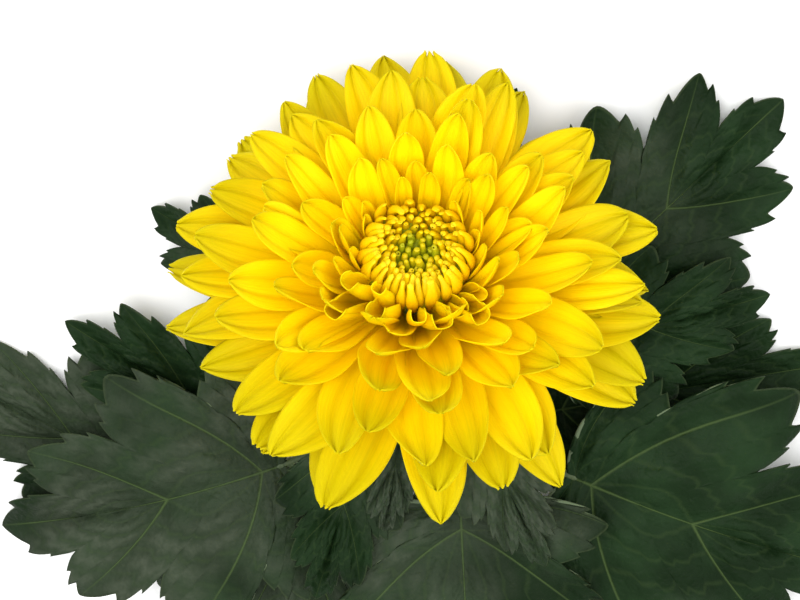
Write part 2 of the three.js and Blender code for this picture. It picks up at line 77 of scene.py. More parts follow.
class Slot(Enum):
    """Names of the material slots."""

    PETALS = "ray_petals"
    FLORETS = "centre_florets"
    CALYX = "calyx"
    STEM = "stem"
    LEAVES = "leaves"


class Green(Enum):
    """The green skins: the colour of each, and its darker tone, partly painted shade in furrows."""

    STEM = ((0.085, 0.14, 0.03), (0.045, 0.08, 0.018))
    STALK = ((0.06, 0.09, 0.03), (0.03, 0.05, 0.02))
    CALYX = ((0.17, 0.23, 0.06), (0.09, 0.13, 0.03))


class Key(IntEnum):
    """What a number is drawn for."""

    LIFT = 1
    AZIMUTH = 2
    END = 3
    LENGTH = 4
    WIDTH = 5
    CURL = 6
    TWIST = 7
    SWING = 8
    TINT = 9
    NOTCH = 10
    TIP_HEIGHT = 11
    GIRTH = 12
    ASIDE = 13
    RIPPLE = 14
    BLUNT = 15
    SPOON = 16
    OUTWARDS = 17
    SLIMNESS = 18
    OPENING = 19
    INCURVE = 20
    LOBE = 20  # of a leaf, with its side, -1 or 1, added
    LEAF_TINT = 25
    LEAF_WAVE = 31


def draw(index: int, key: int) -> float:
    """A repeatable number from -1 to 1 for draw `key` of piece `index`."""
    wave = math.sin(index * DRAW_TURNS[0] + key * DRAW_TURNS[1] + DRAW_TURNS[2]) * DRAW_HEIGHT
    return 2 * (wave - math.floor(wave)) - 1


def mix(first: Any, second: Any, share: Any) -> Any:
    """The value at `share` of the way from the first to the second."""
    return first + (second - first) * share


def eased(share: Any, start: float, end: float) -> Any:
    """How far a share has come from `start` to `end`, from 0 to 1, eased in and out."""
    held = np.clip((share - start) / (end - start), 0.0, 1.0)
    return held * held * (3 - 2 * held)


def along(values: Sequence[float], share: Any) -> Any:
    """The value at `share`, from 0 to 1, of a list whose entries lie at even steps."""
    return np.interp(share, np.linspace(0.0, 1.0, len(values)), values)


def settle(heights: np.ndarray, thickness: float) -> np.ndarray:
    """Heights of a blade's middle, kept above the surface it lies on."""
    above = heights - thickness / 2
    return thickness / 2 + (above + np.hypot(above, SETTLE_SOFTNESS)) / 2


def quilt(phase: np.ndarray) -> np.ndarray:
    """Rounded swellings, 1 at each whole `phase`, that meet in creases, 0 half way between."""
    return np.abs(np.cos(np.pi * phase))


def columns_of(*parts: Any) -> np.ndarray:
    """Points from their x, y and z values."""
    return np.stack(np.broadcast_arrays(*parts), axis=1)


def in_bloom(points: np.ndarray) -> np.ndarray:
    """Points of the bloom's own frame, whose z runs along its axis, in the flower's frame."""
    basis = np.stack((BLOOM_ACROSS, BLOOM_FRONT, BLOOM_AXIS))
    return points @ basis + UP * BLOOM_HEIGHT


def turned(vectors: np.ndarray, about: np.ndarray, angle: float) -> np.ndarray:
    """Vectors at right angles to `about`, turned round it by `angle` radians."""
    return vectors * math.cos(angle) + np.cross(about, vectors) * math.sin(angle)


def unit(vectors: np.ndarray) -> np.ndarray:
    """The vectors at length 1."""
    return vectors / np.linalg.norm(vectors, axis=-1, keepdims=True)


def curve_through(knots: Sequence[np.ndarray], share: np.ndarray) -> np.ndarray:
    """Places on a smooth curve through knots.

    Args:
        knots: The knots, in order.
        share: How far along it each place lies, from 0 to a little over 1.

    Returns:
        The places.
    """
    knots = np.array(knots)
    ends = np.concatenate(((2 * knots[0] - knots[1],), knots, (2 * knots[-1] - knots[-2],)))
    at = np.clip(share, 0, CURVE_END) * (len(knots) - 1)
    low = np.minimum(at.astype(int), len(knots) - 2)
    t = (at - low)[:, None]
    a, b, c, d = (ends[low + k] for k in range(4))
    bends = (2 * a - 5 * b + 4 * c - d) * t**2 + (3 * b - a - 3 * c + d) * t**3
    return 0.5 * (2 * b + (c - a) * t + bends)


def round_about(
    line: np.ndarray, ahead: np.ndarray, turn: np.ndarray, half: Sequence[np.ndarray], lowest: float
) -> np.ndarray:
    """Places round a line, as on the skin of a rod.

    Args:
        line: Places along the line.
        ahead: The line's headings there.
        turn: How far round the line each place lies, in radians.
        half: Half the rod's width and half its height there.
        lowest: The height below which the rod is flattened.

    Returns:
        The places.
    """
    level = unit(np.cross(UP, ahead))
    up = np.cross(ahead, level)
    points = line + level * (np.cos(turn) * half[0])[:, None] + up * (np.sin(turn) * half[1])[:, None]
    points[:, 2] = np.maximum(points[:, 2], lowest)
    return points


def select_only(*objects: bpy.types.Object) -> None:
    """Selects objects alone, and makes the first of them active.

    Args:
        objects: The objects.
    """
    bpy.ops.object.select_all(action="DESELECT")
    for item in objects:
        item.select_set(True)
    bpy.context.view_layer.objects.active = objects[0]


class Sheet:
    """A flat grid modelled once, whose copies are bent into blades, cups and tubes.

    Attributes:
        pattern: The grid itself.
        across: Where each of its points lies from side to side, from -1 to 1.
        along: Where each of its points lies from its near end to its far end, from 0 to 1.
        turn: The same as `across`, as an angle round a tube, in radians.
    """

    def __init__(self, columns: int, rows: int) -> None:
        """Adds the grid.

        Args:
            columns: Number of faces across it.
            rows: Number of faces along it.
        """
        bpy.ops.object.select_all(action="DESELECT")
        bpy.ops.mesh.primitive_grid_add(x_subdivisions=columns, y_subdivisions=rows, size=2)
        self.pattern = bpy.context.object
        flat = np.zeros(len(self.pattern.data.vertices) * 3)
        self.pattern.data.vertices.foreach_get("co", flat)
        self.across = flat[0::3]
        self.along = (flat[1::3] + 1) / 2
        self.turn = self.across * math.pi

    def bent(self, points: np.ndarray, **values: Any) -> bpy.types.Object:
        """A copy of the grid with its points moved.

        Args:
            points: The new places, in the flower's millimetres.
            values: Numbers that each of its points keeps for its material, by name.

        Returns:
            The copy, with a mesh of its own.
        """
        copy = self.pattern.copy()
        copy.data = self.pattern.data.copy()
        bpy.context.scene.collection.objects.link(copy)
        copy.data.vertices.foreach_set("co", ((points + FLOWER_PLACE) * MM).ravel())
        for name, value in values.items():
            kept = copy.data.attributes.new(name, "FLOAT", "POINT")
            kept.data.foreach_set("value", np.broadcast_to(value, len(points)).astype(np.float32))
        return copy

    def remove(self) -> None:
        """Takes the pattern out of the scene once its copies are made."""
        select_only(self.pattern)
        bpy.ops.object.delete()


def joined(name: str, parts: Sequence[bpy.types.Object]) -> bpy.types.Object:
    """Joins objects into one.

    Args:
        name: Its name and its mesh's.
        parts: The objects, which keep their materials and numbers.

    Returns:
        The object.
    """
    select_only(*parts)
    bpy.ops.object.join()
    parts[0].name = name
    parts[0].data.name = name
    return parts[0]


def sew(piece: bpy.types.Object, inside_out: bool = False) -> None:
    """Merges the points that meet along seams and poles, and turns the faces outwards.

    Args:
        piece: The piece.
        inside_out: Whether its faces turn inwards instead.
    """
    select_only(piece)
    bpy.ops.object.mode_set(mode="EDIT")
    bpy.ops.mesh.select_all(action="SELECT")
    bpy.ops.mesh.remove_doubles(threshold=SEAM * MM)
    bpy.ops.mesh.normals_make_consistent(inside=inside_out)
    bpy.ops.object.mode_set(mode="OBJECT")


def thicken(piece: bpy.types.Object, thickness: float, under: int = 0) -> None:
    """Gives a blade its thickness about its sheet.

    Args:
        piece: The blade, a sheet without thickness.
        thickness: In millimetres.
        under: How many material slots further the lower side's material lies.
    """
    select_only(piece)
    solid = piece.modifiers.new("thickness", "SOLIDIFY")
    solid.thickness = thickness * MM
    solid.offset = 0
    solid.material_offset = under
    bpy.ops.object.modifier_apply(modifier=solid.name)


def dress(piece: bpy.types.Object, materials: Sequence[bpy.types.Material]) -> None:
    """Gives a piece a material slot for each material."""
    for material in materials:
        piece.data.materials.append(material)


def finish_piece(piece: bpy.types.Object, slot: Slot, *nodes: str) -> bpy.types.Object:
    """Smooths a dressed piece, and sets it on the frame in place of its nodes.

    Args:
        piece: The piece.
        slot: The slot name for its finish; not used.
        nodes: The solids that it stands for.

    Returns:
        The piece.
    """
    select_only(piece)
    bpy.ops.object.shade_smooth()
    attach(piece, "root")
    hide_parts(*nodes)
    return piece


def turned_form(profile: Sequence[Range], sides: int, reach: float = 1.0) -> bpy.types.Object:
    """A closed form turned about the bloom's axis.

    Args:
        profile: Its outline as radius and height, from pole to pole.
        sides: Number of faces round it.
        reach: How much of the sheet's length its pattern takes up.

    Returns:
        The form, a sheet closed on itself.
    """
    sheet = Sheet(sides, PROFILE_ROWS * (len(profile) - 1))
    outline = np.array(profile)
    radius = along(outline[:, 0], sheet.along)
    height = along(outline[:, 1], sheet.along)
    points = columns_of(np.sin(sheet.turn) * radius, np.cos(sheet.turn) * radius, height)
    made = sheet.bent(in_bloom(points))
    sheet.remove()
    for corner in made.data.uv_layers["UVMap"].data:
        corner.uv = (corner.uv[0], corner.uv[1] * reach)
    return made


class Value:
    """A number that changes over a surface. Arithmetic on it adds Math nodes."""

    def __init__(self, shade: "Shade", socket: bpy.types.NodeSocket) -> None:
        """Wraps a node's output socket."""
        self.shade = shade
        self.socket = socket

    def _math(self, operation: str, first: Number, second: Number) -> "Value":
        """The result of one Math node."""
        return self.shade.node("ShaderNodeMath", {"operation": operation}, {0: first, 1: second})

    def __add__(self, other: Number) -> "Value":
        """This plus the other."""
        return self._math("ADD", self, other)

    def __radd__(self, other: Number) -> "Value":
        """The other plus this."""
        return self._math("ADD", other, self)

    def __sub__(self, other: Number) -> "Value":
        """This less the other."""
        return self._math("SUBTRACT", self, other)

    def __rsub__(self, other: Number) -> "Value":
        """The other less this."""
        return self._math("SUBTRACT", other, self)

    def __mul__(self, other: Number) -> "Value":
        """This times the other."""
        return self._math("MULTIPLY", self, other)

    def __rmul__(self, other: Number) -> "Value":
        """The other times this."""
        return self._math("MULTIPLY", other, self)

    def highest(self, other: Number) -> "Value":
        """The larger of this and the other."""
        return self._math("MAXIMUM", self, other)

    def fold(self, period: float) -> "Value":
        """How far this lies from the nearest whole number of periods, up to half a period."""
        return self._math("PINGPONG", self, period / 2)

    def ramp(self, low: float, high: float) -> "Value":
        """This eased from 0 at `low` to 1 at `high`."""
        settings = {"interpolation_type": "SMOOTHSTEP"}
        return self.shade.node("ShaderNodeMapRange", settings, {0: self, 1: low, 2: high})


class Shade:
    """A material under construction: its nodes and its one Principled shader.

    Attributes:
        MIXED_COLOURS: Numbers of a Mix node's colour inputs, which share their names with others.
        MIXED: Number of its colour output.
    """

    MIXED_COLOURS = (6, 7)
    MIXED = 2

    def __init__(self, name: str) -> None:
        """Starts a material.

        Args:
            name: Its name.
        """
        self.material = bpy.data.materials.new(name)
        self.material.use_nodes = True
        self.tree = self.material.node_tree
        self.shader = next(n for n in self.tree.nodes if n.type == "BSDF_PRINCIPLED")

    def node(
        self,
        kind: str,
        settings: Mapping[str, Any],
        inputs: Mapping[Union[int, str], Any],
        output: Union[int, str] = 0,
    ) -> Value:
        """Adds a node.

        Args:
            kind: The node's type.
            settings: Its own properties, set before its sockets.
            inputs: A value or a link for each socket that is set, by name or number.
            output: Which of its outputs is wanted, by name or number.

        Returns:
            That output.
        """
        made = self.tree.nodes.new(kind)
        for name, value in settings.items():
            setattr(made, name, value)
        self.fill(made, inputs)
        return Value(self, made.outputs[output])

    def fill(self, node: bpy.types.Node, inputs: Mapping[Union[int, str], Any]) -> None:
        """Sets or links a node's sockets.

        Args:
            node: The node.
            inputs: A value or a link for each socket, by name or number.
        """
        for key, value in inputs.items():
            if isinstance(value, Value):
                self.tree.links.new(value.socket, node.inputs[key])
            elif isinstance(value, tuple) and len(value) == 3 and node.inputs[key].type == "RGBA":
                node.inputs[key].default_value = (*value, 1.0)
            else:
                node.inputs[key].default_value = value

    def place(self) -> Value:
        """The place on the object, in metres."""
        return self.node("ShaderNodeTexCoord", {}, {}, "Object")

    def sheet_place(self) -> Value:
        """The place on the sheet that the piece was bent from, from 0 to 1 both ways."""
        return self.node("ShaderNodeUVMap", {"uv_map": "UVMap"}, {})

    def part(self, vector: Value, axis: str) -> Value:
        """One of a vector's numbers."""
        return self.node("ShaderNodeSeparateXYZ", {}, {0: vector}, axis)

    def kept(self, name: str) -> Value:
        """A number that the piece's points keep."""
        settings = {"attribute_type": "GEOMETRY", "attribute_name": name}
        return self.node("ShaderNodeAttribute", settings, {}, "Fac")

    def stretched(self, vector: Value, scale: Triple) -> Value:
        """A vector with its parts multiplied."""
        return self.node("ShaderNodeVectorMath", {"operation": "MULTIPLY"}, {0: vector, 1: scale})

    def noise(self, vector: Value, scale: float, detail: float = 2.0, roughness: float = 0.5) -> Value:
        """Cloudy noise from 0 to 1."""
        inputs = {"Vector": vector, "Scale": scale, "Detail": detail, "Roughness": roughness}
        return self.node("ShaderNodeTexNoise", {}, inputs)

    def cells(self, vector: Value, scale: float) -> Value:
        """How far a place lies from the edge of its cell in a net of cells."""
        inputs = {"Vector": vector, "Scale": scale}
        return self.node("ShaderNodeTexVoronoi", {"feature": "DISTANCE_TO_EDGE"}, inputs)

    def blend(self, first: Union[Colour, Value], second: Union[Colour, Value], share: Number) -> Value:
        """A colour between two others."""
        inputs = {0: share, self.MIXED_COLOURS[0]: first, self.MIXED_COLOURS[1]: second}
        return self.node("ShaderNodeMix", {"data_type": "RGBA"}, inputs, self.MIXED)

    def bump(self, height: Value, depth: float) -> Value:
        """A normal for a relief `depth` millimetres deep."""
        return self.node("ShaderNodeBump", {}, {"Height": height, "Distance": depth * MM})

    def finish(self, inputs: Mapping[str, Any]) -> bpy.types.Material:
        """Sets the Principled shader's sockets and returns the material."""
        self.fill(self.shader, inputs)
        return self.material


@dataclass(frozen=True)
class PetalFinish:
    """Soft satin petal, bright yellow, deeper towards its base and towards the middle of the bloom.

    The orange is partly the petal's own colour and partly painted warm shade where the petals
    overlap, and the darker colour in its grooves and in the furrows of its fine streaks is painted
    shade. A pair is where something starts and where it is full. Of the light, `glow` spreads inside
    the petal, over `glow_depth` millimetres times the red, green and blue parts of `glow_spread`.
    """

    tip: Colour = (0.50, 0.415, 0.0)
    body: Colour = (0.76, 0.575, 0.0)
    # The base colour is partly the petal's own deep orange and partly painted warm shade between overlapping
    # petals.
    base: Colour = (0.995, 0.68, 0.0)
    # Colour of the painted shade in the grooves and in the furrows of the fine streaks.
    painted_crease_shade: Colour = (0.40, 0.28, 0.0)
    # How far the root and the middle of the bloom deepen the orange, partly as painted warm shade.
    root_warmth_and_shade: float = 1.05
    inner_warmth_and_shade: float = 0.45
    tint_warmth: float = 0.1
    vein_warmth: float = 0.2
    body_from: Range = (0.05, 0.65)
    base_from: Range = (0.3, 0.8)
    streaks: Triple = (44.0, 2.2, 1.0)
    streak_detail: float = 3.0
    streak_edge: Range = (0.4, 0.8)
    streak_shade: float = 0.06
    streak_relief: float = 0.6
    grooves: float = 1.5
    groove_edge: Range = (0.0, 0.27)
    groove_from: Range = (0.1, 0.4)
    groove_shade: float = 0.14
    relief: float = 0.18
    roughness: float = 0.6
    specular: float = 0.08
    glow: float = 0.55
    glow_spread: Triple = (1.0, 1.0, 0.5)
    glow_depth: float = 0.5

    def material(self) -> bpy.types.Material:
        """Builds the material.

        Returns:
            The material.
        """
        shade = Shade("petal_yellow")
        place = shade.sheet_place()
        reach = shade.part(place, "Y")
        ring = shade.kept("ring")
        tint = shade.kept("tint")
        veins = shade.noise(shade.stretched(place, self.streaks), 1.0, self.streak_detail)
        aside = (shade.part(place, "X") * 2 - 1) * self.grooves + 0.5
        groove = (1 - aside.fold(1.0).ramp(*self.groove_edge)) * reach.ramp(*self.groove_from)
        # Deeper orange towards the root and the middle of the bloom: partly the petal's own colour, partly
        # painted warm shade where the petals overlap.
        warmth_and_shade = self.root_warmth_and_shade * (1 - reach) + self.inner_warmth_and_shade * (1 - ring)
        warmth_and_shade = warmth_and_shade + self.tint_warmth * tint + self.vein_warmth * (veins - 0.5)
        # Painted shade: darker in the two grooves and in the low furrows of the fine streaks, which are
        # partly the veins' own tone.
        creases = groove * self.groove_shade + (1 - veins).ramp(*self.streak_edge) * self.streak_shade
        colour = shade.blend(self.tip, self.body, warmth_and_shade.ramp(*self.body_from))
        colour = shade.blend(colour, self.base, warmth_and_shade.ramp(*self.base_from))
        colour = shade.blend(colour, self.painted_crease_shade, creases)
        return shade.finish(
            {
                "Base Color": colour,
                "Roughness": self.roughness,
                "Specular IOR Level": self.specular,
                "Subsurface Weight": self.glow,
                "Subsurface Radius": self.glow_spread,
                "Subsurface Scale": self.glow_depth * MM,
                "Normal": shade.bump(self.streak_relief * veins - groove, self.relief),
            }
        )


@dataclass(frozen=True)
class FloretFinish:
    """Quilled florets, yellow round the rim of the centre and yellow green in its middle.

    The painted warm shade low down between them starts and is full where the pairs say, along a
    floret and from the middle outwards.
    """

    rim: Colour = (0.80, 0.56, 0.0)
    middle: Colour = (0.33, 0.36, 0.004)
    # Colour of the painted warm shade low down between the florets.
    painted_warm_shade: Colour = (0.76, 0.42, 0.0)
    rim_from: Range = (0.02, 0.36)
    tint_share: float = 0.12
    reach_share: float = 0.25
    even_reach: float = 0.6
    shade_along: Range = (0.25, 0.9)
    shade_outwards: Range = (0.1, 0.5)
    deep_shade: float = 0.7
    grain: float = 1800.0
    relief: float = 0.05
    roughness: float = 0.5
    specular: float = 0.2
    glow: float = 0.5
    glow_spread: Triple = (1.0, 0.8, 0.2)
    glow_depth: float = 0.9

    def material(self) -> bpy.types.Material:
        """Builds the material.

        Returns:
            The material.
        """
        shade = Shade("floret_yellow_green")
        reach = shade.part(shade.sheet_place(), "Y")
        ring = shade.kept("ring")
        tint = shade.kept("tint")
        outwards = ring + self.tint_share * tint + self.reach_share * (reach - self.even_reach)
        # Painted warm shade, from the florets' feet upwards and stronger outwards.
        depth = (1 - reach).ramp(*self.shade_along) * ring.ramp(*self.shade_outwards)
        colour = shade.blend(self.middle, self.rim, outwards.ramp(*self.rim_from))
        colour = shade.blend(colour, self.painted_warm_shade, depth * self.deep_shade)
        return shade.finish(
            {
                "Base Color": colour,
                "Roughness": self.roughness,
                "Specular IOR Level": self.specular,
                "Subsurface Weight": self.glow,
                "Subsurface Radius": self.glow_spread,
                "Subsurface Scale": self.glow_depth * MM,
                "Normal": shade.bump(shade.noise(shade.place(), self.grain), self.relief),
            }
        )


@dataclass(frozen=True)
class LeafFinish:
    """Dark grey green satin leaf with paler veins, and its paler matte underside.

    The grey patches are painted sheen, laid most on wrinkles and on the swellings between the veins.
    The pattern follows the blade's sheet: `reach` runs from the midrib to the margin, and `aside`
    from a lobe's main vein to the notch beside it. A noise has its scale, detail and roughness. A
    name ending in `_shade` is how strongly a colour covers the others, and one ending in `_relief`
    is a share of `relief` or of `under_relief`, which are in millimetres.
    """

    lobes: float = 3.5
    dark: Colour = (0.004, 0.012, 0.003)
    light: Colour = (0.011, 0.028, 0.009)
    # Grey of the painted sheen.
    painted_sheen: Colour = (0.056, 0.068, 0.046)
    vein: Colour = (0.058, 0.092, 0.028)
    rim: Colour = (0.05, 0.07, 0.03)
    under: Colour = (0.085, 0.12, 0.06)
    under_vein: Colour = (0.15, 0.19, 0.10)
    under_down: Colour = (0.13, 0.165, 0.10)
    midrib_edge: Range = (0.002, 0.017)
    main_edge: Range = (0.002, 0.026)
    main_root: float = 0.3
    main_fade: float = 0.25
    side_edge: Range = (0.002, 0.030)
    side_slant: float = 0.3
    side_period: float = 0.24
    side_from: Range = (0.0, 0.1)
    side_fade: float = 0.3
    vein_fading: Range = (0.55, 1.0)
    rim_edge: Range = (0.982, 0.995)
    swelling_edge: Range = (0.0, 0.12)
    swelling_aside: Range = (0.02, 0.25)
    swelling_reach: Range = (0.12, 0.45)
    clouds: tuple[float, ...] = (55.0, 3.0)
    cloud_edge: Range = (0.3, 0.75)
    sheen_patches: tuple[float, ...] = (24.0, 2.0)
    sheen_edge: Range = (0.42, 0.74)
    sheen_tint: float = 0.16
    wrinkles: tuple[float, ...] = (620.0, 4.0, 0.6)
    lumps: tuple[float, ...] = (210.0, 2.0)
    net: float = 480.0
    net_edge: Range = (0.0, 0.4)
    down: tuple[float, ...] = (900.0, 3.0, 0.7)
    smooth_sheen: float = 0.3
    flat_sheen: float = 0.5
    main_shade: float = 0.6
    side_shade: float = 0.1
    rim_shade: float = 0.4
    roughness: Range = (0.4, 0.6)
    specular: float = 0.06
    wrinkle_relief: float = 0.25
    lump_relief: float = 0.6
    swelling_relief: float = 0.35
    main_relief: float = 0.25
    net_relief: float = 0.12
    relief: float = 0.9
    under_side_share: float = 0.5
    under_vein_shade: float = 0.7
    under_down_shade: float = 0.4
    under_roughness: float = 0.7
    under_specular: float = 0.3
    under_main_relief: float = 0.6
    under_side_relief: float = 0.3
    under_down_relief: float = 0.3
    under_relief: float = 0.5

    def pattern(self, shade: Shade) -> tuple[Value, Value, Value, Value]:
        """The pattern of veins.

        Args:
            shade: The material that it is for.

        Returns:
            How strongly a place belongs to the main veins, to the side veins, to the rim and to
            the swellings between the veins.
        """
        place = shade.sheet_place()
        reach = shade.part(place, "Y")
        aside = (shade.part(place, "X") * self.lobes + 0.5).fold(1.0) * 2.0
        main = 1.0 - (aside * (self.main_root + reach)).ramp(*self.main_edge)
        midrib = 1.0 - reach.ramp(*self.midrib_edge)
        strength = 1.0 - reach.ramp(*self.vein_fading)
        branch = (reach - self.side_slant * aside).fold(self.side_period)
        side = (1.0 - branch.ramp(*self.side_edge)) * aside.ramp(*self.side_from)
        rim = reach.ramp(*self.rim_edge)
        swelling = branch.ramp(*self.swelling_edge) * aside.ramp(*self.swelling_aside)
        swelling = swelling * reach.ramp(*self.swelling_reach)
        main = (main * mix(self.main_fade, 1.0, strength)).highest(midrib)
        return main, side * mix(self.side_fade, 1.0, strength), rim, swelling

    def upper(self) -> bpy.types.Material:
        """Builds the upper side's material.

        Returns:
            The material.
        """
        shade = Shade("leaf_upper")
        main, side, rim, swelling = self.pattern(shade)
        place = shade.place()
        clouds = shade.noise(place, *self.clouds)
        sheen_patches = shade.noise(place, *self.sheen_patches)
        wrinkles = shade.noise(place, *self.wrinkles)
        lumps = shade.noise(place, *self.lumps)
        net = shade.cells(place, self.net).ramp(*self.net_edge)
        # Painted sheen: lighter grey patches, most on wrinkles and on the swellings between the veins.
        sheen_share = (sheen_patches + self.sheen_tint * shade.kept("tint")).ramp(*self.sheen_edge)
        sheen_share = sheen_share * mix(self.smooth_sheen, 1.0, wrinkles) * mix(self.flat_sheen, 1.0, swelling)
        colour = shade.blend(self.dark, self.light, clouds.ramp(*self.cloud_edge))
        colour = shade.blend(colour, self.painted_sheen, sheen_share)
        colour = shade.blend(colour, self.vein, side * self.side_shade)
        colour = shade.blend(colour, self.vein, main * self.main_shade)
        colour = shade.blend(colour, self.rim, rim * self.rim_shade)
        relief = self.wrinkle_relief * wrinkles + self.lump_relief * lumps + self.swelling_relief * swelling
        relief = relief - self.main_relief * main + self.net_relief * net
        return shade.finish(
            {
                "Base Color": colour,
                "Roughness": mix(*self.roughness, wrinkles),
                "Specular IOR Level": self.specular,
                "Normal": shade.bump(relief, self.relief),
            }
        )

    def lower(self) -> bpy.types.Material:
        """Builds the underside's material.

        Returns:
            The material.
        """
        shade = Shade("leaf_under")
        main, side, _, _ = self.pattern(shade)
        down = shade.noise(shade.place(), *self.down)
        veins = (main + self.under_side_share * side).ramp(0.0, 1.0)
        relief = self.under_main_relief * main + self.under_side_relief * side
        relief = relief + self.under_down_relief * down
        colour = shade.blend(self.under, self.under_vein, veins * self.under_vein_shade)
        colour = shade.blend(colour, self.under_down, down * self.under_down_shade)
        return shade.finish(
            {
                "Base Color": colour,
                "Roughness": self.under_roughness,
                "Specular IOR Level": self.under_specular,
                "Normal": shade.bump(relief, self.under_relief),
            }
        )


@dataclass(frozen=True)
class StalkFinish:
    """Matte green skin of the stem, the leaf stalks or the calyx, ribbed and slightly downy.

    A noise has its scale and detail. The fibres run along the flower.
    """

    green: Green
    flush: Colour = (0.14, 0.11, 0.045)
    flush_from: Range = (0.5, 0.8)
    flushed: float = 0.25
    skin_from: Range = (0.25, 0.7)
    clouds: tuple[float, ...] = (60.0, 3.0)
    fibres: Triple = (900.0, 60.0, 900.0)
    fibre_detail: float = 3.0
    relief: float = 0.2
    roughness: float = 0.62
    specular: float = 0.35
    sheen: float = 0.15

    def material(self) -> bpy.types.Material:
        """Builds the material.

        Returns:
            The material.
        """
        shade = Shade(f"{self.green.name.lower()}_green")
        skin, hollow_tone_and_shade = self.green.value
        place = shade.place()
        clouds = shade.noise(place, *self.clouds)
        fibres = shade.noise(shade.stretched(place, self.fibres), 1.0, self.fibre_detail)
        # The darker colour is partly random tone and partly painted shade in the furrows of the fibre relief.
        colour = shade.blend(hollow_tone_and_shade, skin, (0.5 * clouds + 0.5 * fibres).ramp(*self.skin_from))
        colour = shade.blend(colour, self.flush, clouds.ramp(*self.flush_from) * self.flushed)
        return shade.finish(
            {
                "Base Color": colour,
                "Roughness": self.roughness,
                "Specular IOR Level": self.specular,
                "Sheen Weight": self.sheen,
                "Normal": shade.bump(fibres, self.relief),
            }
        )


@dataclass(frozen=True)
class Petal:
    """Shape of one ray petal. Angles are radians."""

    ring: float
    azimuth: float
    root_radius: float
    root_height: float
    start_angle: float
    end_angle: float
    length: float
    width: float
    curl: float
    twist: float
    swing: float
    tint: float
    tip_width: float
    tip_point: float
    notch: float
    ripple: float
    curl_taper: Range


@dataclass(frozen=True)
class PetalSpread:
    """How far single petals stray from the rule: angles in degrees, the rest as shares."""

    lift: float = 4.5
    azimuth: float = 8.0
    end: float = 9.0
    length: float = 0.09
    width: float = 0.1
    curl: float = 0.16
    twist: float = 15.0
    swing: float = 7.0
    tip_point: float = 0.3
    notch: float = 0.8


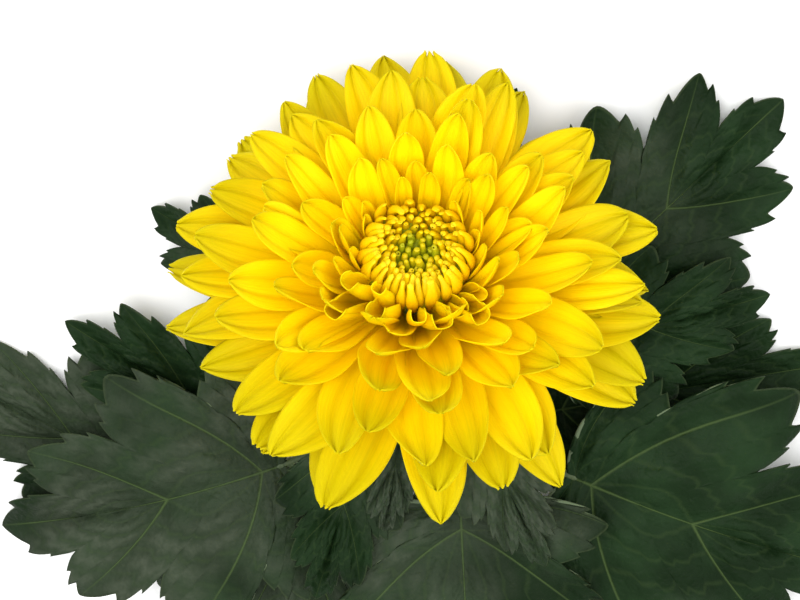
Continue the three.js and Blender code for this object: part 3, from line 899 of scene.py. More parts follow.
@dataclass
class RayPetals:
    """The bloom's ray petals, cupped blades on a spiral from the centre outwards.

    A list runs at even steps from the innermost petal to the outermost, and its angles are degrees.
    A pair does so too, but one ending in `_from` says where along a petal something starts and where
    it is full, one ending in `_taper` runs from a petal's root to its tip, `tip_width` runs from a
    pointed tip to a blunt one, `ripple_turns` has the turns along and across a petal, and
    `rolled_lean` those at its root and its tip. A petal takes up `thickness` on the surface and is
    `blade` thick. The `rolled` ones, among the innermost and in front, are funnels with a wide mouth.
    """

    count: int = 136
    thickness: float = 0.8
    blade: float = 0.24
    turn: float = math.radians(300)
    spread: PetalSpread = PetalSpread()
    length: tuple[float, ...] = (21, 29, 38, 45, 49.8, 50.8)
    width: tuple[float, ...] = (5.4, 9, 12.5, 15, 16.5, 16.5)
    start_angle: tuple[float, ...] = (62, 48, 35, 22, 12, 4)
    end_angle: tuple[float, ...] = (98, 78, 56, 32, 6, -18)
    curl: tuple[float, ...] = (175, 130, 98, 78, 64, 54)
    root_radius: Range = (9.6, 10.4)
    root_height: Range = (5, -0.6)
    bend_late: float = 1.3
    curl_taper: Range = (1.2, 0.65)
    claw: float = 0.34
    widest: float = 0.6
    tip_roundness: float = 2.4
    tip_width: Range = (0.06, 0.3)
    tip_point: Range = (0.5, 0.82)
    tip_tooth: float = 0.02
    tooth_valleys: float = 1.5
    tooth_reach: int = 8
    path_steps: int = 24
    columns: int = 18
    rows: int = 30
    row_crowding: float = 1.25
    column_step: float = 0.12
    ridge_period: float = 0.72
    ridge_from: Range = (0.12, 0.47)
    ridge: Range = (0.016, 0.056)
    ripple: float = 0.75
    ripple_from: Range = (0.3, 0.7)
    ripple_turns: Range = (9.0, 2.0)
    inner_ripple: float = 0.3
    rolled_count: int = 28
    rolled_side: float = -0.5
    rolled_curl: float = math.radians(285)
    rolled_width: float = 2.0
    rolled_mouth: float = 0.75
    rolled_taper: Range = (1.1, 0.9)
    rolled_lean: Range = (math.radians(7), math.radians(19))
    rings: tuple[tuple[str, int, int], ...] = (
        ("ray_petals_inner", 0, 46),
        ("ray_petals_middle", 46, 92),
        ("ray_petals_outer", 92, 136),
    )

    def petal(self, index: int) -> Petal:
        """The shape of one petal.

        Args:
            index: Its number, counted from the centre outwards.

        Returns:
            Its shape.
        """
        share = (index + 0.5) / self.count
        spread = self.spread
        lift = draw(index, Key.LIFT) * spread.lift
        end_lift = lift + draw(index, Key.END) * spread.end
        blunt = (0.5 + 0.5 * draw(index, Key.BLUNT)) ** 2
        astray = math.radians(draw(index, Key.AZIMUTH) * spread.azimuth)
        azimuth = self.turn + index * GOLDEN_ANGLE + astray
        petal = Petal(
            ring=share,
            azimuth=azimuth,
            root_radius=float(along(self.root_radius, share)),
            root_height=float(along(self.root_height, share)),
            start_angle=math.radians(along(self.start_angle, share) + lift),
            end_angle=math.radians(along(self.end_angle, share) + end_lift),
            length=along(self.length, share) * (1 + draw(index, Key.LENGTH) * spread.length),
            width=along(self.width, share) * (1 + draw(index, Key.WIDTH) * spread.width),
            curl=math.radians(along(self.curl, share) * (1 + draw(index, Key.CURL) * spread.curl)),
            twist=math.radians(draw(index, Key.TWIST) * spread.twist),
            swing=math.radians(draw(index, Key.SWING) * spread.swing),
            tint=draw(index, Key.TINT),
            tip_width=mix(*self.tip_width, blunt),
            tip_point=mix(*self.tip_point, share) * (1 - spread.tip_point * blunt),
            notch=self.tip_tooth * (1 + spread.notch * draw(index, Key.NOTCH)),
            ripple=draw(index, Key.RIPPLE) * math.pi,
            curl_taper=self.curl_taper,
        )
        if index < self.rolled_count and math.cos(azimuth) < self.rolled_side:
            return self.rolled(petal)
        return petal

    def rolled(self, petal: Petal) -> Petal:
        """Rolls a petal up into a funnel with a wide mouth.

        Args:
            petal: The petal as the rule has it.

        Returns:
            The rolled petal.
        """
        return replace(
            petal,
            start_angle=petal.start_angle - self.rolled_lean[0],
            end_angle=petal.end_angle - self.rolled_lean[1],
            width=petal.width * self.rolled_width,
            curl=self.rolled_curl,
            twist=0.0,
            tip_width=self.rolled_mouth,
            curl_taper=self.rolled_taper,
        )

    def outline(self, petal: Petal, share: np.ndarray) -> np.ndarray:
        """A petal's outline.

        Args:
            petal: The petal.
            share: Shares of its length.

        Returns:
            Its width there, as shares of its full width.
        """
        opening = mix(self.claw, 1.0, eased(share, 0.0, self.widest))
        closing = np.maximum(0, (share - self.widest) / (1 - self.widest))
        closed = np.maximum(0, 1 - closing**self.tip_roundness) ** petal.tip_point
        return opening * np.maximum(petal.tip_width, closed)

    def path(self, petal: Petal, share: np.ndarray) -> tuple[np.ndarray, np.ndarray, np.ndarray]:
        """A petal's middle line, in the bloom's frame.

        Args:
            petal: The petal.
            share: Shares of its length.

        Returns:
            Its radius, height and angle there.
        """
        stations = np.linspace(0, 1, self.path_steps + 1)
        angles = mix(petal.start_angle, petal.end_angle, stations**self.bend_late)
        step = petal.length / self.path_steps
        radii = petal.root_radius + np.concatenate(((0,), np.cumsum(np.cos(angles[:-1]) * step)))
        heights = petal.root_height + np.concatenate(((0,), np.cumsum(np.sin(angles[:-1]) * step)))
        angle = mix(petal.start_angle, petal.end_angle, share**self.bend_late)
        return np.interp(share, stations, radii), np.interp(share, stations, heights), angle

    def points(self, petal: Petal, share: np.ndarray, column: np.ndarray) -> np.ndarray:
        """Places on a petal.

        Args:
            petal: The petal.
            share: How far along it each place lies, from 0 to 1.
            column: How far across it each place lies, from -1 to 1.

        Returns:
            The places, kept above the surface.
        """
        radius, height, angle = self.path(petal, share)
        azimuth = petal.azimuth + petal.swing * share**2
        outward = columns_of(np.sin(azimuth), np.cos(azimuth), 0.0)
        level = columns_of(np.cos(azimuth), -np.sin(azimuth), 0.0)
        steep = columns_of(-np.sin(angle) * outward[:, 0], -np.sin(angle) * outward[:, 1], np.cos(angle))
        turn = (petal.twist * share)[:, None]
        side = level * np.cos(turn) - steep * np.sin(turn)
        rise = steep * np.cos(turn) + level * np.sin(turn)
        curl = petal.curl * mix(*petal.curl_taper, share)
        bend = (petal.width * self.outline(petal, share) / curl)[:, None]
        arc = (column * curl / 2)[:, None]
        inner = rise * np.cos(arc) - side * np.sin(arc)
        points = outward * radius[:, None] + UP * height[:, None]
        points += side * bend * np.sin(arc) + rise * bend * (1 - np.cos(arc))
        points += inner * self.relief(petal, share, column)[:, None]
        placed = in_bloom(points)
        placed[:, 2] = settle(placed[:, 2], self.thickness)
        return placed

    def relief(self, petal: Petal, share: np.ndarray, column: np.ndarray) -> np.ndarray:
        """How far a petal's face stands out from its even curve.

        Args:
            petal: The petal.
            share: How far along it each place lies, from 0 to 1.
            column: How far across it each place lies, from -1 to 1.

        Returns:
            Heights in millimetres, of ridges between two grooves and of ripples at its edges.
        """
        rise = mix(*self.ridge, petal.ring) * petal.width
        ridges = quilt(column / self.ridge_period) * eased(share, *self.ridge_from)
        turns = share * self.ripple_turns[0] + column * self.ripple_turns[1] + petal.ripple
        ripples = np.sin(turns) * column**2 * eased(share, *self.ripple_from)
        return rise * ridges + self.ripple * mix(self.inner_ripple, 1.0, petal.ring) * ripples

    def build(self, material: bpy.types.Material) -> list[bpy.types.Object]:
        """Models the petals ring by ring.

        Args:
            material: The petals' material.

        Returns:
            A piece for each ring.
        """
        sheet = Sheet(self.columns, self.rows)
        column = np.clip(sheet.across * self.columns / 2 * self.column_step, -1, 1)
        row = 1 - (1 - sheet.along) ** self.row_crowding
        valley = row**self.tooth_reach * (1 - quilt(column * self.tooth_valleys))
        made = []
        for name, first, last in self.rings:
            blades = []
            for index in range(first, last):
                petal = self.petal(index)
                points = self.points(petal, row * (1 - petal.notch * valley), column)
                blades.append(sheet.bent(points, ring=petal.ring, tint=petal.tint))
            piece = joined(name, blades)
            thicken(piece, self.blade)
            dress(piece, [material])
            made.append(finish_piece(piece, Slot.PETALS, "ray_petals"))
        sheet.remove()
        return made


@dataclass
class CentreFlorets:
    """The bloom's centre: packed quilled florets on a domed cushion.

    A tip's height, a radius and the slimming run from the middle outwards, and `spoon_outwards` says
    how far out spoons start. A pair ending in `_from` says where along a floret something starts and
    where it is full. The pairs on the pit at a floret's tip run from a closed tip to an open one, and
    `open_above` holds the draws that start to open it and open it fully. The `section` is a floret's
    thickness outwards and aside. A number ending in `_spread` is how far single florets stray.
    """

    count: int = 130
    ring: float = 13.4
    foot_height: float = 13
    foot_share: float = 0.94
    tip_share: float = 0.98
    tip_height: Range = (20.5, 24.5)
    tip_spread: float = 1.3
    radius: Range = (1.08, 1.26)
    radius_spread: float = 0.16
    foot_girth: float = 0.7
    full_girth_from: Range = (0.0, 0.42)
    slimming: Range = (0.36, 0.56)
    slimming_spread: float = 0.25
    slimming_from: Range = (0.4, 0.9)
    pit_from: Range = (0.94, 1.0)
    pit_depth: Range = (0.97, 0.72)
    pit_roundness: Range = (2.0, 1.0)
    pit_drop: float = 0.6
    open_above: Range = (0.0, 2 / 3)
    belly: float = 1.1
    incurve: float = 3.8
    incurve_spread: float = 0.3
    incurve_late: float = 2.4
    spoon: float = 0.5
    spoon_outwards: Range = (0.7, 1.0)
    section: Range = (0.92, 1.06)
    spoon_flatness: float = 0.3
    out_spread: float = 0.4
    aside_spread: float = 0.8
    sides: int = 12
    rows: int = 18
    row_crowding: float = 1.3
    cushion: tuple[Range, ...] = ((0.1, 17), (8, 18), (12, 18.4), (13, 15), (7.8, 4), (0.1, 4))
    cushion_sides: int = 40
    cushion_pattern: float = 0.1

    def girth(self, reach: np.ndarray, share: float, index: int, open_tip: float) -> np.ndarray:
        """How a floret's radius changes along it.

        Args:
            reach: How far along it each place lies, from 0 to 1.
            share: How far from the middle of the centre it stands.
            index: Its number.
            open_tip: How far its tip is open, from 0 to 1.

        Returns:
            Shares of its full radius: it swells from its foot, slims again and closes round a pit.
        """
        slimming = mix(*self.slimming, share) * (1 + self.slimming_spread * draw(index, Key.SLIMNESS))
        body = mix(self.foot_girth, 1.0, eased(reach, *self.full_girth_from))
        taper = 1 - slimming * eased(reach, *self.slimming_from)
        closing = eased(reach, *self.pit_from) ** mix(*self.pit_roundness, open_tip)
        return body * taper * (1 - mix(*self.pit_depth, open_tip) * closing)

    def floret(self, sheet: Sheet, index: int) -> bpy.types.Object:
        """One floret: a tube that swells towards a rounded tip with a small pit in it.

        Args:
            sheet: The sheet that it is bent from.
            index: Its number, counted from the middle outwards.

        Returns:
            The floret.
        """
        share = (index + 0.5) / self.count
        azimuth = index * GOLDEN_ANGLE
        reach = sheet.along
        thick = mix(*self.radius, share) * (1 + draw(index, Key.GIRTH) * self.radius_spread)
        tip = mix(*self.tip_height, share) + draw(index, Key.TIP_HEIGHT) * self.tip_spread
        flat = self.spoon * float(eased(share, *self.spoon_outwards)) * (0.5 + 0.5 * draw(index, Key.SPOON))
        open_tip = float(eased(draw(index, Key.OPENING), *self.open_above))
        size = thick * self.girth(reach, share, index, open_tip)
        height = mix(self.foot_height, tip, 1 - (1 - reach) ** self.row_crowding)
        height -= self.pit_drop * open_tip * thick * eased(reach, *self.pit_from)
        incurve = self.incurve * (1 - flat) * (1 + self.incurve_spread * draw(index, Key.INCURVE))
        lean = mix(self.foot_share, self.tip_share, reach) * self.ring * math.sqrt(share)
        lean += share * (self.belly * np.sin(np.pi * reach) - incurve * reach**self.incurve_late)
        out = lean + np.cos(sheet.turn) * size * (self.section[0] - self.spoon_flatness * flat)
        out += draw(index, Key.OUTWARDS) * self.out_spread * reach**2
        aside = np.sin(sheet.turn) * size * (self.section[1] + flat)
        aside += draw(index, Key.ASIDE) * self.aside_spread * reach**2
        x = math.sin(azimuth) * out + math.cos(azimuth) * aside
        y = math.cos(azimuth) * out - math.sin(azimuth) * aside
        return sheet.bent(in_bloom(columns_of(x, y, height)), ring=share, tint=draw(index, Key.TINT))

    def build(self, material: bpy.types.Material) -> list[bpy.types.Object]:
        """Models the florets and their cushion as one piece.

        Args:
            material: The florets' material.

        Returns:
            The piece, in a list.
        """
        sheet = Sheet(self.sides, self.rows)
        parts = [self.floret(sheet, index) for index in range(self.count)]
        parts.append(turned_form(self.cushion, self.cushion_sides, self.cushion_pattern))
        sheet.remove()
        piece = joined("centre_florets_fine", parts)
        sew(piece)
        dress(piece, [material])
        return [finish_piece(piece, Slot.FLORETS, "centre_florets")]


@dataclass(frozen=True)
class Bracts:
    """One row of bracts, its sizes in millimetres."""

    count: int
    reach: float
    width: float
    drop: float


@dataclass
class Calyx:
    """The green cup at the top of the stem, with two rows of bracts under the petals."""

    cup: tuple[Range, ...] = (
        (0.1, -9.4), (3.4, -9.3), (5.6, -7.8), (7.4, -5.8),
        (8.6, -3.8), (9.2, -2.0), (8.0, -1.5), (0.1, -1.5),
    )
    cup_sides: int = 36
    rows: tuple[Bracts, ...] = (Bracts(8, 7.5, 3.0, 1.1), Bracts(9, 10.0, 3.4, 0.0))
    root_radius: float = 6.4
    root_height: float = -6.2
    rise: float = 3.1
    rise_early: float = 0.8
    keel: float = 0.35
    root_width: float = 1.15
    tip_width: float = 0.06
    tip_roundness: float = 3.0
    blade: float = 0.45
    faces: tuple[int, int] = (6, 12)

    def bract(self, sheet: Sheet, row: int, index: int) -> bpy.types.Object:
        """One bract: a small pointed scale, keeled along its middle.

        Args:
            sheet: The sheet that it is bent from.
            row: Number of its row.
            index: Its number in the row.

        Returns:
            The bract.
        """
        shape = self.rows[row]
        azimuth = (index + row / 2) / shape.count * 2 * math.pi
        share = sheet.along
        radius = self.root_radius + shape.reach * share
        taper = np.minimum(1, mix(self.root_width, 1.0, share))
        taper *= np.maximum(self.tip_width, 1 - share**self.tip_roundness)
        half = sheet.across * shape.width * taper / 2
        x = np.sin(azimuth) * radius + np.cos(azimuth) * half
        y = np.cos(azimuth) * radius - np.sin(azimuth) * half
        keel = self.keel * np.abs(sheet.across) * (1 - share)
        z = self.root_height + self.rise * share**self.rise_early - shape.drop * share + keel
        return sheet.bent(in_bloom(columns_of(x, y, z)))

    def build(self, material: bpy.types.Material) -> list[bpy.types.Object]:
        """Models the cup and the bracts as one piece.

        Args:
            material: The calyx's material.

        Returns:
            The piece, in a list.
        """
        sheet = Sheet(*self.faces)
        places = [(row, index) for row, shape in enumerate(self.rows) for index in range(shape.count)]
        bracts = [self.bract(sheet, row, index) for row, index in places]
        sheet.remove()
        scales = joined("calyx_bracts", bracts)
        thicken(scales, self.blade)
        cup = turned_form(self.cup, self.cup_sides)
        sew(cup)
        piece = joined("calyx_fine", [cup, scales])
        dress(piece, [material])
        return [finish_piece(piece, Slot.CALYX, "calyx")]


@dataclass
class Stem:
    """The cut stem: its neck comes down from the bloom and it then lies along the surface.

    A place on it is given by `reach`, how far back from the neck it lies.
    """

    neck: Range = (-6.9, 38.4)
    rest: float = 4.0
    settling: float = 34.4
    reach: float = 280.0
    sway: float = 5.5
    radius: Range = (3.1, 3.9)
    ribs: int = 5
    rib_turn: float = 0.01
    groove: float = 0.07
    node_swelling: float = 0.35
    node_length: float = 3.5
    end_hollow: float = 0.5
    end_core: float = 0.01
    lowest: float = 0.12
    heading_step: float = 0.5
    sides: int = 40
    rows: int = 150
    end_rows: int = 6

    def point(self, reach: np.ndarray) -> np.ndarray:
        """Places on the stem's axis.

        Args:
            reach: How far back they lie.

        Returns:
            The places.
        """
        fall = np.exp(-reach / self.settling)
        x = self.sway * np.sin(reach / self.reach * math.pi)
        return columns_of(x, self.neck[0] - reach, self.rest + (self.neck[1] - self.rest) * fall)

    def heading(self, reach: np.ndarray) -> np.ndarray:
        """Headings of the stem's axis, away from the bloom."""
        step = self.heading_step
        return unit(self.point(reach + step) - self.point(reach - step))

    def ribbed(self, sheet: Sheet, middle: np.ndarray, reach: np.ndarray, radius: np.ndarray) -> np.ndarray:
        """Places round the stem's axis.

        Args:
            sheet: The sheet that goes round it.
            middle: Places on the axis.
            reach: How far back they lie.
            radius: How far from the axis each place lies on top of a rib.

        Returns:
            The places, on ribs and in grooves, and flattened on the surface.
        """
        depth = 0.5 - 0.5 * np.cos(sheet.turn * self.ribs + reach * self.rib_turn)
        size = radius * (1 - self.groove * depth)
        return round_about(middle, self.heading(reach), sheet.turn, (size, size), self.lowest)

    def build(self, material: bpy.types.Material, nodes: Sequence[float]) -> list[bpy.types.Object]:
        """Models the stem as one ribbed tube, swollen a little where each leaf leaves it.

        Args:
            material: The stem's material.
            nodes: How far back each leaf leaves it.

        Returns:
            The piece, in a list.
        """
        sheet = Sheet(self.sides, self.rows)
        share = np.clip(sheet.along, 0, 1)
        reach = share * self.reach
        near = (np.exp(-(((reach - node) / self.node_length) ** 2)) for node in nodes)
        radius = mix(*self.radius, share) + self.node_swelling * sum(near)
        tube = sheet.bent(self.ribbed(sheet, self.point(reach), reach, radius))
        sheet.remove()
        ends = [self.end(place, facing) for place, facing in ((0.0, 1), (self.reach, -1))]
        piece = joined("stem_fine", [tube, *ends])
        sew(piece)
        dress(piece, [material])
        return [finish_piece(piece, Slot.STEM, "stem")]

    def end(self, place: float, facing: int) -> bpy.types.Object:
        """The face at one end of the stem, a little sunk in its middle.

        Args:
            place: How far back the end lies.
            facing: 1 if it sinks away from the bloom, otherwise -1.

        Returns:
            The face.
        """
        sheet = Sheet(self.sides, self.end_rows)
        reach = np.full_like(sheet.along, place)
        radius = mix(*self.radius, reach / self.reach) * np.maximum(sheet.along, self.end_core)
        sunk = facing * self.end_hollow * (1 - sheet.along)
        middle = self.point(reach) + self.heading(reach) * sunk[:, None]
        made = sheet.bent(self.ribbed(sheet, middle, reach, radius))
        sheet.remove()
        return made


@dataclass(frozen=True)
class Lobe:
    """One lobe of a leaf's margin. Lengths are shares of the blade's length, angles are degrees."""

    foot: float
    reach: float
    angle: float
    spread: Range = (0.0, 0.0)
    notch: float = 0.0
    turn: float = 0.0


@dataclass(frozen=True)
class Leaf:
    """Where a leaf leaves the stem, and where the foot and tip of its blade lie."""

    name: str
    node: float
    foot: Triple
    tip: Triple
    breadth: float
    bow: float
    roll: float


@dataclass
class Foliage:
    """The leaves: lobed and toothed blades, quilted between their veins, each on its stalk.

    A blade takes up `thickness` on the surface and is `blade` thick. Its lobes, folds and waves are
    shares of its length, and its teeth, places and depths, are shares of half a lobe. Its swellings,
    called `pucker`, and the stalk's lengths are millimetres, and what starts or ends part of the way
    along something is a share. Flatness and roundness are those of a lobe's near and far side.
    """

    stem: Stem
    thickness: float = 0.8
    blade: float = 0.55
    stalk_radius: float = 1.35
    stalk_taper: Range = (1.3, 0.7)
    stalk_section: Range = (1.1, 0.9)
    stalk_rise: float = 3.0
    stalk_arch: float = 0.45
    stalk_run: float = 6.0
    stalk_end: float = 0.05
    stalk_drop: float = 0.3
    stalk_closing: float = 0.9
    stalk_point: float = 0.02
    stalk_lowest: float = 0.15
    stalk_faces: tuple[int, int] = (10, 20)
    fold: float = 0.16
    droop: float = 0.34
    wave_height: float = 0.07
    wave_turns: float = 11.0
    flatness: Range = (1.5, 1.3)
    roundness: Range = (0.6, 0.75)
    teeth: tuple[Range, ...] = ((0.375, 0.16), (0.708, 0.13))
    tooth_drop: float = 0.09
    tooth_run: float = 0.36
    tooth_fading: float = 1.3
    far_teeth: float = 0.75
    variation: float = 0.09
    lobe_draws: int = 7
    notch_late: int = 3
    last_place: float = 3.5
    half_lobe_steps: int = 24
    rows: int = 16
    pucker: float = 1.6
    pucker_aside: Range = (0.0, 0.45)
    pucker_reach: Range = (0.0, 0.25)
    pucker_wave: float = 0.35
    pucker_turns: Range = (17.0, 7.0)
    vein_arc: float = 0.38
    base: Lobe = Lobe(0.0, 0.1, 102.0)
    lobes: tuple[Lobe, ...] = (
        Lobe(0.02, 0.5, 84.0, (5.0, 6.0), 0.36, 67.5),
        Lobe(0.07, 0.65, 51.0, (9.0, 5.0), 0.35, 45.0),
        Lobe(0.4, 0.5, 36.0, (9.0, 3.0), 0.24, 27.0),
        Lobe(0.66, 0.34, 0.0, (18.0, 18.0), 0.0, 0.0),
    )
    leaves: tuple[Leaf, ...] = (
        Leaf("leaf_01", 13, (45, -11, 10), (94, 35, 0), 0.96, 0, 4),
        Leaf("leaf_02", 23, (38, -26, 15), (92, -16, 6), 0.75, 3, 0),
        Leaf("leaf_03", 64, (33, -50, 4), (112, -37, -1), 0.7, 0, 0),
        Leaf("leaf_04", 35, (40, -61.5, 19), (122, -97.5, 1), 0.88, 6, -3),
        Leaf("leaf_05", 27, (11.8, -67.5, 26), (16, -148, 11), 0.88, 6, 0),
        Leaf("leaf_06", 31, (-34, -58, 20), (-110, -83, 2), 0.92, 7, 3),
        Leaf("leaf_07", 66, (-30, -76, 12), (-60, -140, 1), 0.78, 4, -4),
        Leaf("leaf_08", 45, (-38, -54, 9.5), (-91, -24, 4.5), 0.69, 3, 0),
        Leaf("leaf_09", 99, (-64, -73, 2), (-130, -36, -1), 0.62, 0, 0),
        Leaf("leaf_10", 15, (-26, -12, 20), (-68, 6, 1), 0.75, 2, 0),
        Leaf("leaf_11", 8, (11, 5, 18), (26, 38, 0.4), 0.48, 0, 0),
        Leaf("leaf_12", 18, (-13, -43, 32), (-26, -93, 27), 0.66, 4, 5),
        Leaf("leaf_13", 6, (-3, -34, 42), (-8, -70, 36), 0.48, 3, -6),
        Leaf("leaf_14", 9, (15, -36, 38), (34, -82, 31), 0.53, 3, 0),
        Leaf("leaf_15", 131, (30, -150, 6), (96, -190, -1), 0.79, 3, 0),
        Leaf("leaf_16", 159, (-22, -178, 6), (-88, -206, -1), 0.79, 3, 0),
    )

    def limit(self, index: int, towards_tip: bool) -> Lobe:
        """The notch or end beside a lobe.

        Args:
            index: The lobe's number.
            towards_tip: Whether the side towards the leaf's tip is meant.

        Returns:
            What the margin has there, as a lobe.
        """
        lobe = self.lobes[index]
        beside = index + 1 if towards_tip else index - 1
        if beside < 0:
            return self.base
        if beside == len(self.lobes):
            return Lobe(lobe.foot, 0.0, lobe.angle)
        before = lobe if towards_tip else self.lobes[beside]
        return Lobe((lobe.foot + self.lobes[beside].foot) / 2, before.notch, before.turn)

    def margin(self, place: float, seed: int, side: int) -> tuple[float, float, float]:
        """Where the margin lies.

        Args:
            place: Number of the lobe, with a share of the way across it, from a leaf's base to its tip.
            seed: The leaf's number.
            side: -1 or 1.

        Returns:
            The foot, angle in radians and reach of a ray from the midrib to the margin.
        """
        index = min(int(place), len(self.lobes) - 1)
        lobe = self.lobes[index]
        x = 2 * (place - index) - 1
        edge = abs(x)
        far = int(x > 0)
        limit = self.limit(index, x > 0)
        variation = 0.0
        if lobe.notch:
            variation = draw(seed * self.lobe_draws + index, Key.LOBE + side) * self.variation
        own = lobe.reach * (1 + variation)
        cut = self.tooth_cut(edge) * (self.far_teeth if far else 1.0)
        rounding = max(0, 1 - edge ** self.flatness[far]) ** self.roundness[far]
        angle = mix(lobe.angle, limit.angle, edge**self.notch_late) - lobe.spread[far] * math.sin(math.pi * x)
        reach = (limit.reach + (own - limit.reach) * rounding) * (1 - cut)
        return mix(lobe.foot, limit.foot, edge), math.radians(angle), reach

    def tooth_cut(self, edge: float) -> float:
        """How deeply the margin is cut after its teeth.

        Args:
            edge: How far from the middle of its lobe a place lies, from 0 to 1.

        Returns:
            The cut, as a share of the margin's reach.
        """
        cut = 0.0
        for at, depth in self.teeth:
            past = max(0.0, at - edge)
            fading = max(0.0, 1 - past / self.tooth_run) ** self.tooth_fading
            cut += depth * min(1.0, past / self.tooth_drop) * fading
        return cut

    def midrib(self, leaf: Leaf, share: np.ndarray) -> tuple[np.ndarray, np.ndarray]:
        """A leaf's midrib, bowed upwards.

        Args:
            leaf: The leaf.
            share: Shares of its length.

        Returns:
            Places and headings there.
        """
        foot = np.array(leaf.foot, float)
        tip = np.array(leaf.tip, float)
        middle = (foot + tip) / 2 + UP * 2 * leaf.bow
        s = np.atleast_1d(share)[:, None]
        places = (1 - s) ** 2 * foot + 2 * s * (1 - s) * middle + s**2 * tip
        return places, unit(2 * (1 - s) * (middle - foot) + 2 * s * (tip - middle))

    def blade_points(self, leaf: Leaf, seed: int, x: np.ndarray, y: np.ndarray, relief: Any) -> np.ndarray:
        """Places of a bent blade.

        Args:
            leaf: The leaf.
            seed: Its number.
            x: How far along its flat shape each place lies, as a share of its length.
            y: How far across it each place lies, as a share of its length.
            relief: How far its face stands out there, in millimetres.

        Returns:
            The places, kept above the surface.
        """
        length = float(np.linalg.norm(np.array(leaf.tip, float) - np.array(leaf.foot, float)))
        at = np.clip(x, 0, 1)
        places, ahead = self.midrib(leaf, at)
        level = turned(unit(np.cross(UP, ahead)), ahead, math.radians(leaf.roll))
        up = np.cross(ahead, level)
        breadth = np.abs(y)
        phase = draw(seed, Key.LEAF_WAVE) * math.pi + np.where(y > 0, math.pi / 2, 0)
        wave = self.wave_height * breadth * np.sin(x * self.wave_turns + phase)
        lift = (self.fold * breadth - self.droop * breadth**2 + wave) * length + relief
        flat = ahead * ((x - at) * length)[:, None] + level * (y * length)[:, None]
        points = places + flat + up * lift[:, None]
        points[:, 2] = settle(points[:, 2], self.thickness)
        return points

    def relief(self, place: np.ndarray, share: np.ndarray) -> np.ndarray:
        """How far the blade swells between its veins.

        Args:
            place: Where each place lies along the margin, as in `margin`.
            share: How far from the midrib to the margin it lies, from 0 to 1.

        Returns:
            Heights in millimetres.
        """
        aside = np.abs(2 * (place % 1) - 1)
        away = eased(aside, *self.pucker_aside) * eased(share, *self.pucker_reach)
        waves = np.sin(share * self.pucker_turns[0] - self.pucker_turns[1] * aside) * (1 - share)
        return self.pucker * away * (1 + self.pucker_wave * waves)

    def half(self, sheet: Sheet, leaf: Leaf, seed: int, side: int) -> bpy.types.Object:
        """One half of a blade, from its midrib to its margin.

        Args:
            sheet: The sheet that it is bent from.
            leaf: The leaf.
            seed: Its number.
            side: -1 or 1.

        Returns:
            The half.
        """
        place = (sheet.across + 1) / 2 * self.last_place
        share = sheet.along
        known = np.unique(np.round(place, PLACE_DIGITS))
        limits = np.array([self.margin(min(float(p), self.last_place), seed, side) for p in known])
        foot, angle, reach = (np.interp(place, known, limits[:, part]) for part in range(3))
        arc = self.vein_arc * np.sin(angle) * share * (1 - share)
        x = foot + (np.cos(angle) * share - arc) * reach
        y = side * leaf.breadth * np.sin(angle) * reach * share
        tip = place > self.last_place - 10**-PLACE_DIGITS
        x = np.where(tip, foot + (1 - foot) * share, x)
        y = np.where(tip, 0.0, y)
        points = self.blade_points(leaf, seed, x, y, self.relief(place, share))
        return sheet.bent(points, tint=draw(seed, Key.LEAF_TINT))

    def stalk(self, leaf: Leaf, seed: int) -> bpy.types.Object:
        """A leaf's stalk, from inside the stem to under the blade's midrib.

        Args:
            leaf: The leaf.
            seed: Its number.

        Returns:
            The stalk.
        """
        sheet = Sheet(*self.stalk_faces)
        start = self.stem.point(np.array((leaf.node,)))[0]
        foot, heading = (part[0] for part in self.midrib(leaf, np.array((0.0,))))
        entry = foot - self.stalk_run * heading
        arch = mix(start, entry, self.stalk_arch) + UP * self.stalk_rise
        under = self.blade_points(leaf, seed, np.array((self.stalk_end,)), np.array((0.0,)), 0.0)[0]
        knots = (start, arch, entry, under - UP * self.stalk_drop)
        share = sheet.along
        line = curve_through(knots, share)
        ahead = unit(curve_through(knots, share + CURVE_STEP) - line)
        past = np.maximum(0, share - self.stalk_closing) / (1 - self.stalk_closing)
        closing = np.maximum(self.stalk_point, 1 - past * (1 - self.stalk_point))
        radius = self.stalk_radius * mix(*self.stalk_taper, share) * closing
        half = [radius * part for part in self.stalk_section]
        made = sheet.bent(round_about(line, ahead, sheet.turn, half, self.stalk_lowest))
        sheet.remove()
        sew(made)
        return made

    def build(self, materials: Sequence[bpy.types.Material]) -> list[bpy.types.Object]:
        """Models each leaf as one piece.

        Args:
            materials: The materials of its upper side, its underside and its stalk.

        Returns:
            A piece for each leaf.
        """
        sheet = Sheet(int(self.last_place * 2) * self.half_lobe_steps, self.rows)
        made = []
        for seed, leaf in enumerate(self.leaves):
            blade = joined(f"{leaf.name}_fine", [self.half(sheet, leaf, seed, side) for side in (-1, 1)])
            sew(blade)
            self.face_up(blade)
            dress(blade, materials)
            thicken(blade, self.blade, under=1)
            stalk = self.stalk(leaf, seed)
            dress(stalk, materials)
            for face in stalk.data.polygons:
                face.material_index = len(materials) - 1
            piece = joined(f"{leaf.name}_fine", [blade, stalk])
            made.append(finish_piece(piece, Slot.LEAVES, leaf.name))
        sheet.remove()
        return made

    @staticmethod
    def face_up(blade: bpy.types.Object) -> None:
        """Turns a blade's faces so that its upper side shows upwards.

        Args:
            blade: The blade.
        """
        mean = sum((face.normal * face.area for face in blade.data.polygons), Vector())
        if mean.z < 0:
            sew(blade, inside_out=True)


@dataclass(frozen=True)
class Lamp:
    """One soft square light, its lengths in metres and its power in watts."""

    name: str
    place: Triple
    size: float
    power: float


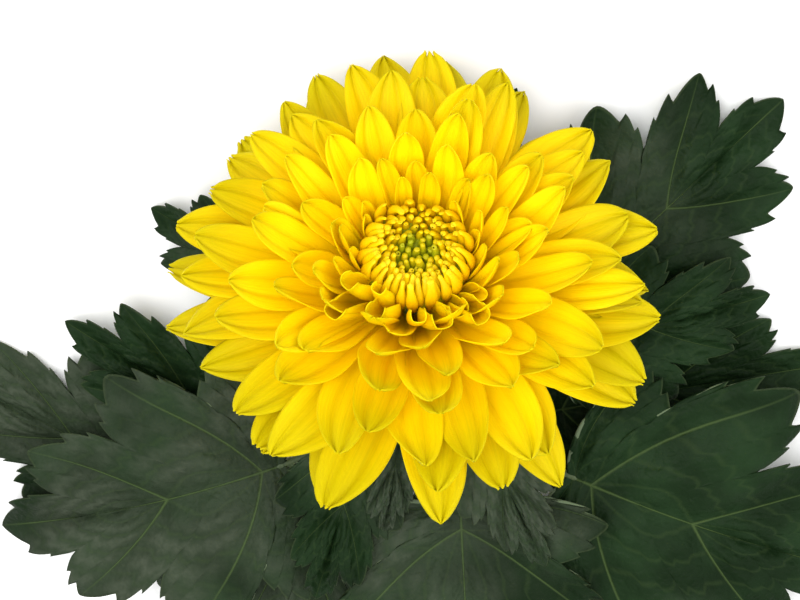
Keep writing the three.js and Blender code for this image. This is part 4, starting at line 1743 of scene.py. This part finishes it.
@dataclass
class Studio:
    """A plain pale floor, soft light, and a camera at the photograph's viewing angle.

    The photograph is 800 by 600 pixels. A length is in metres, and an angle in degrees.
    """

    floor_size: float = 8.0
    floor_drop: float = 0.0004
    floor_colour: Colour = (0.93, 0.93, 0.93)
    floor_roughness: float = 0.9
    floor_specular: float = 0.1
    surroundings: float = 1.0
    lit: Triple = (0.0, 0.06, 0.03)
    lamps: tuple[Lamp, ...] = (
        Lamp("key_light", (-0.32, 0.32, 1.2), 0.85, 12.5),
        Lamp("fill_light", (0.75, 0.15, 1.0), 1.0, 6.0),
    )
    elevation: float = 70.0
    distance: float = 0.8
    seen: Range = (0.05, 20.0)
    pixel: float = 0.246 * MM
    bloom_pixel: Range = (415.5, 287.0)
    middle_pixel: Range = (400.0, 300.0)
    sensor: float = 36.0
    image_width: float = 800.0

    def add_floor(self) -> None:
        """Lays the floor, which isn't part of the flower."""
        bpy.ops.object.select_all(action="DESELECT")
        bpy.ops.mesh.primitive_plane_add(size=self.floor_size, location=(0, 0, -self.floor_drop))
        floor = bpy.context.object
        floor.name = "floor"
        finish = {
            "Base Color": self.floor_colour,
            "Roughness": self.floor_roughness,
            "Specular IOR Level": self.floor_specular,
        }
        dress(floor, [Shade("floor_white").finish(finish)])

    def add_lights(self) -> None:
        """Lights the flower softly from above and from the camera's side."""
        world = bpy.data.worlds.new("studio")
        bpy.context.scene.world = world
        world.use_nodes = True
        background = next(n for n in world.node_tree.nodes if n.type == "BACKGROUND")
        background.inputs["Color"].default_value = (1.0, 1.0, 1.0, 1.0)
        background.inputs["Strength"].default_value = self.surroundings
        for lamp in self.lamps:
            bpy.ops.object.light_add(type="AREA", location=lamp.place)
            light = bpy.context.object
            light.name = lamp.name
            light.data.size = lamp.size
            light.data.energy = lamp.power
            facing = Vector(self.lit) - Vector(lamp.place)
            light.rotation_euler = facing.to_track_quat("-Z", "Y").to_euler()

    def add_camera(self) -> None:
        """Sets the camera above and beyond the bloom, looking back down at it."""
        angle = math.radians(self.elevation)
        back = Vector((0.0, math.cos(angle), math.sin(angle)))
        up = Vector((0.0, math.sin(angle), -math.cos(angle)))
        right = Vector((1.0, 0.0, 0.0))
        bloom = Vector((FLOWER_PLACE + UP * BLOOM_HEIGHT) * MM)
        aside = (self.bloom_pixel[0] - self.middle_pixel[0]) * self.pixel
        above = (self.middle_pixel[1] - self.bloom_pixel[1]) * self.pixel
        place = bloom + back * self.distance - right * aside - up * above
        data = bpy.data.cameras.new("camera")
        camera = bpy.data.objects.new("camera", data)
        bpy.context.scene.collection.objects.link(camera)
        data.sensor_width = self.sensor
        data.lens = self.sensor * self.distance / (self.pixel * self.image_width)
        data.clip_start, data.clip_end = self.seen
        turn = Matrix((right, up, back)).transposed().to_4x4()
        camera.matrix_world = Matrix.Translation(place) @ turn
        bpy.context.scene.camera = camera

    def build(self) -> None:
        """Sets up the floor, the lights and the camera, and shows colours as they are."""
        self.add_floor()
        self.add_lights()
        self.add_camera()
        bpy.context.scene.view_settings.view_transform = "Standard"


def report(pieces: Sequence[bpy.types.Object]) -> None:
    """Logs each piece's name and number of triangles.

    Args:
        pieces: The pieces.
    """
    for piece in pieces:
        triangles = sum(len(face.vertices) - 2 for face in piece.data.polygons)
        LOG.info("%s: %d triangles", piece.name, triangles)


def write_size() -> None:
    """Updates the view layer."""
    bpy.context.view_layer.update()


def main() -> None:
    """Builds the flower piece by piece, and the studio round it."""
    logging.basicConfig(level=logging.INFO, format="%(message)s")
    leaf_sides = LeafFinish()
    petals = PetalFinish().material()
    florets = FloretFinish().material()
    green, stalk, downy = (StalkFinish(part).material() for part in (Green.STEM, Green.STALK, Green.CALYX))
    stem = Stem()
    foliage = Foliage(stem)
    report(RayPetals().build(petals))
    report(CentreFlorets().build(florets))
    report(Calyx().build(downy))
    report(stem.build(green, [leaf.node for leaf in foliage.leaves]))
    report(foliage.build([leaf_sides.upper(), leaf_sides.lower(), stalk]))
    Studio().build()
    write_size()


if __name__ == "__main__":
    main()
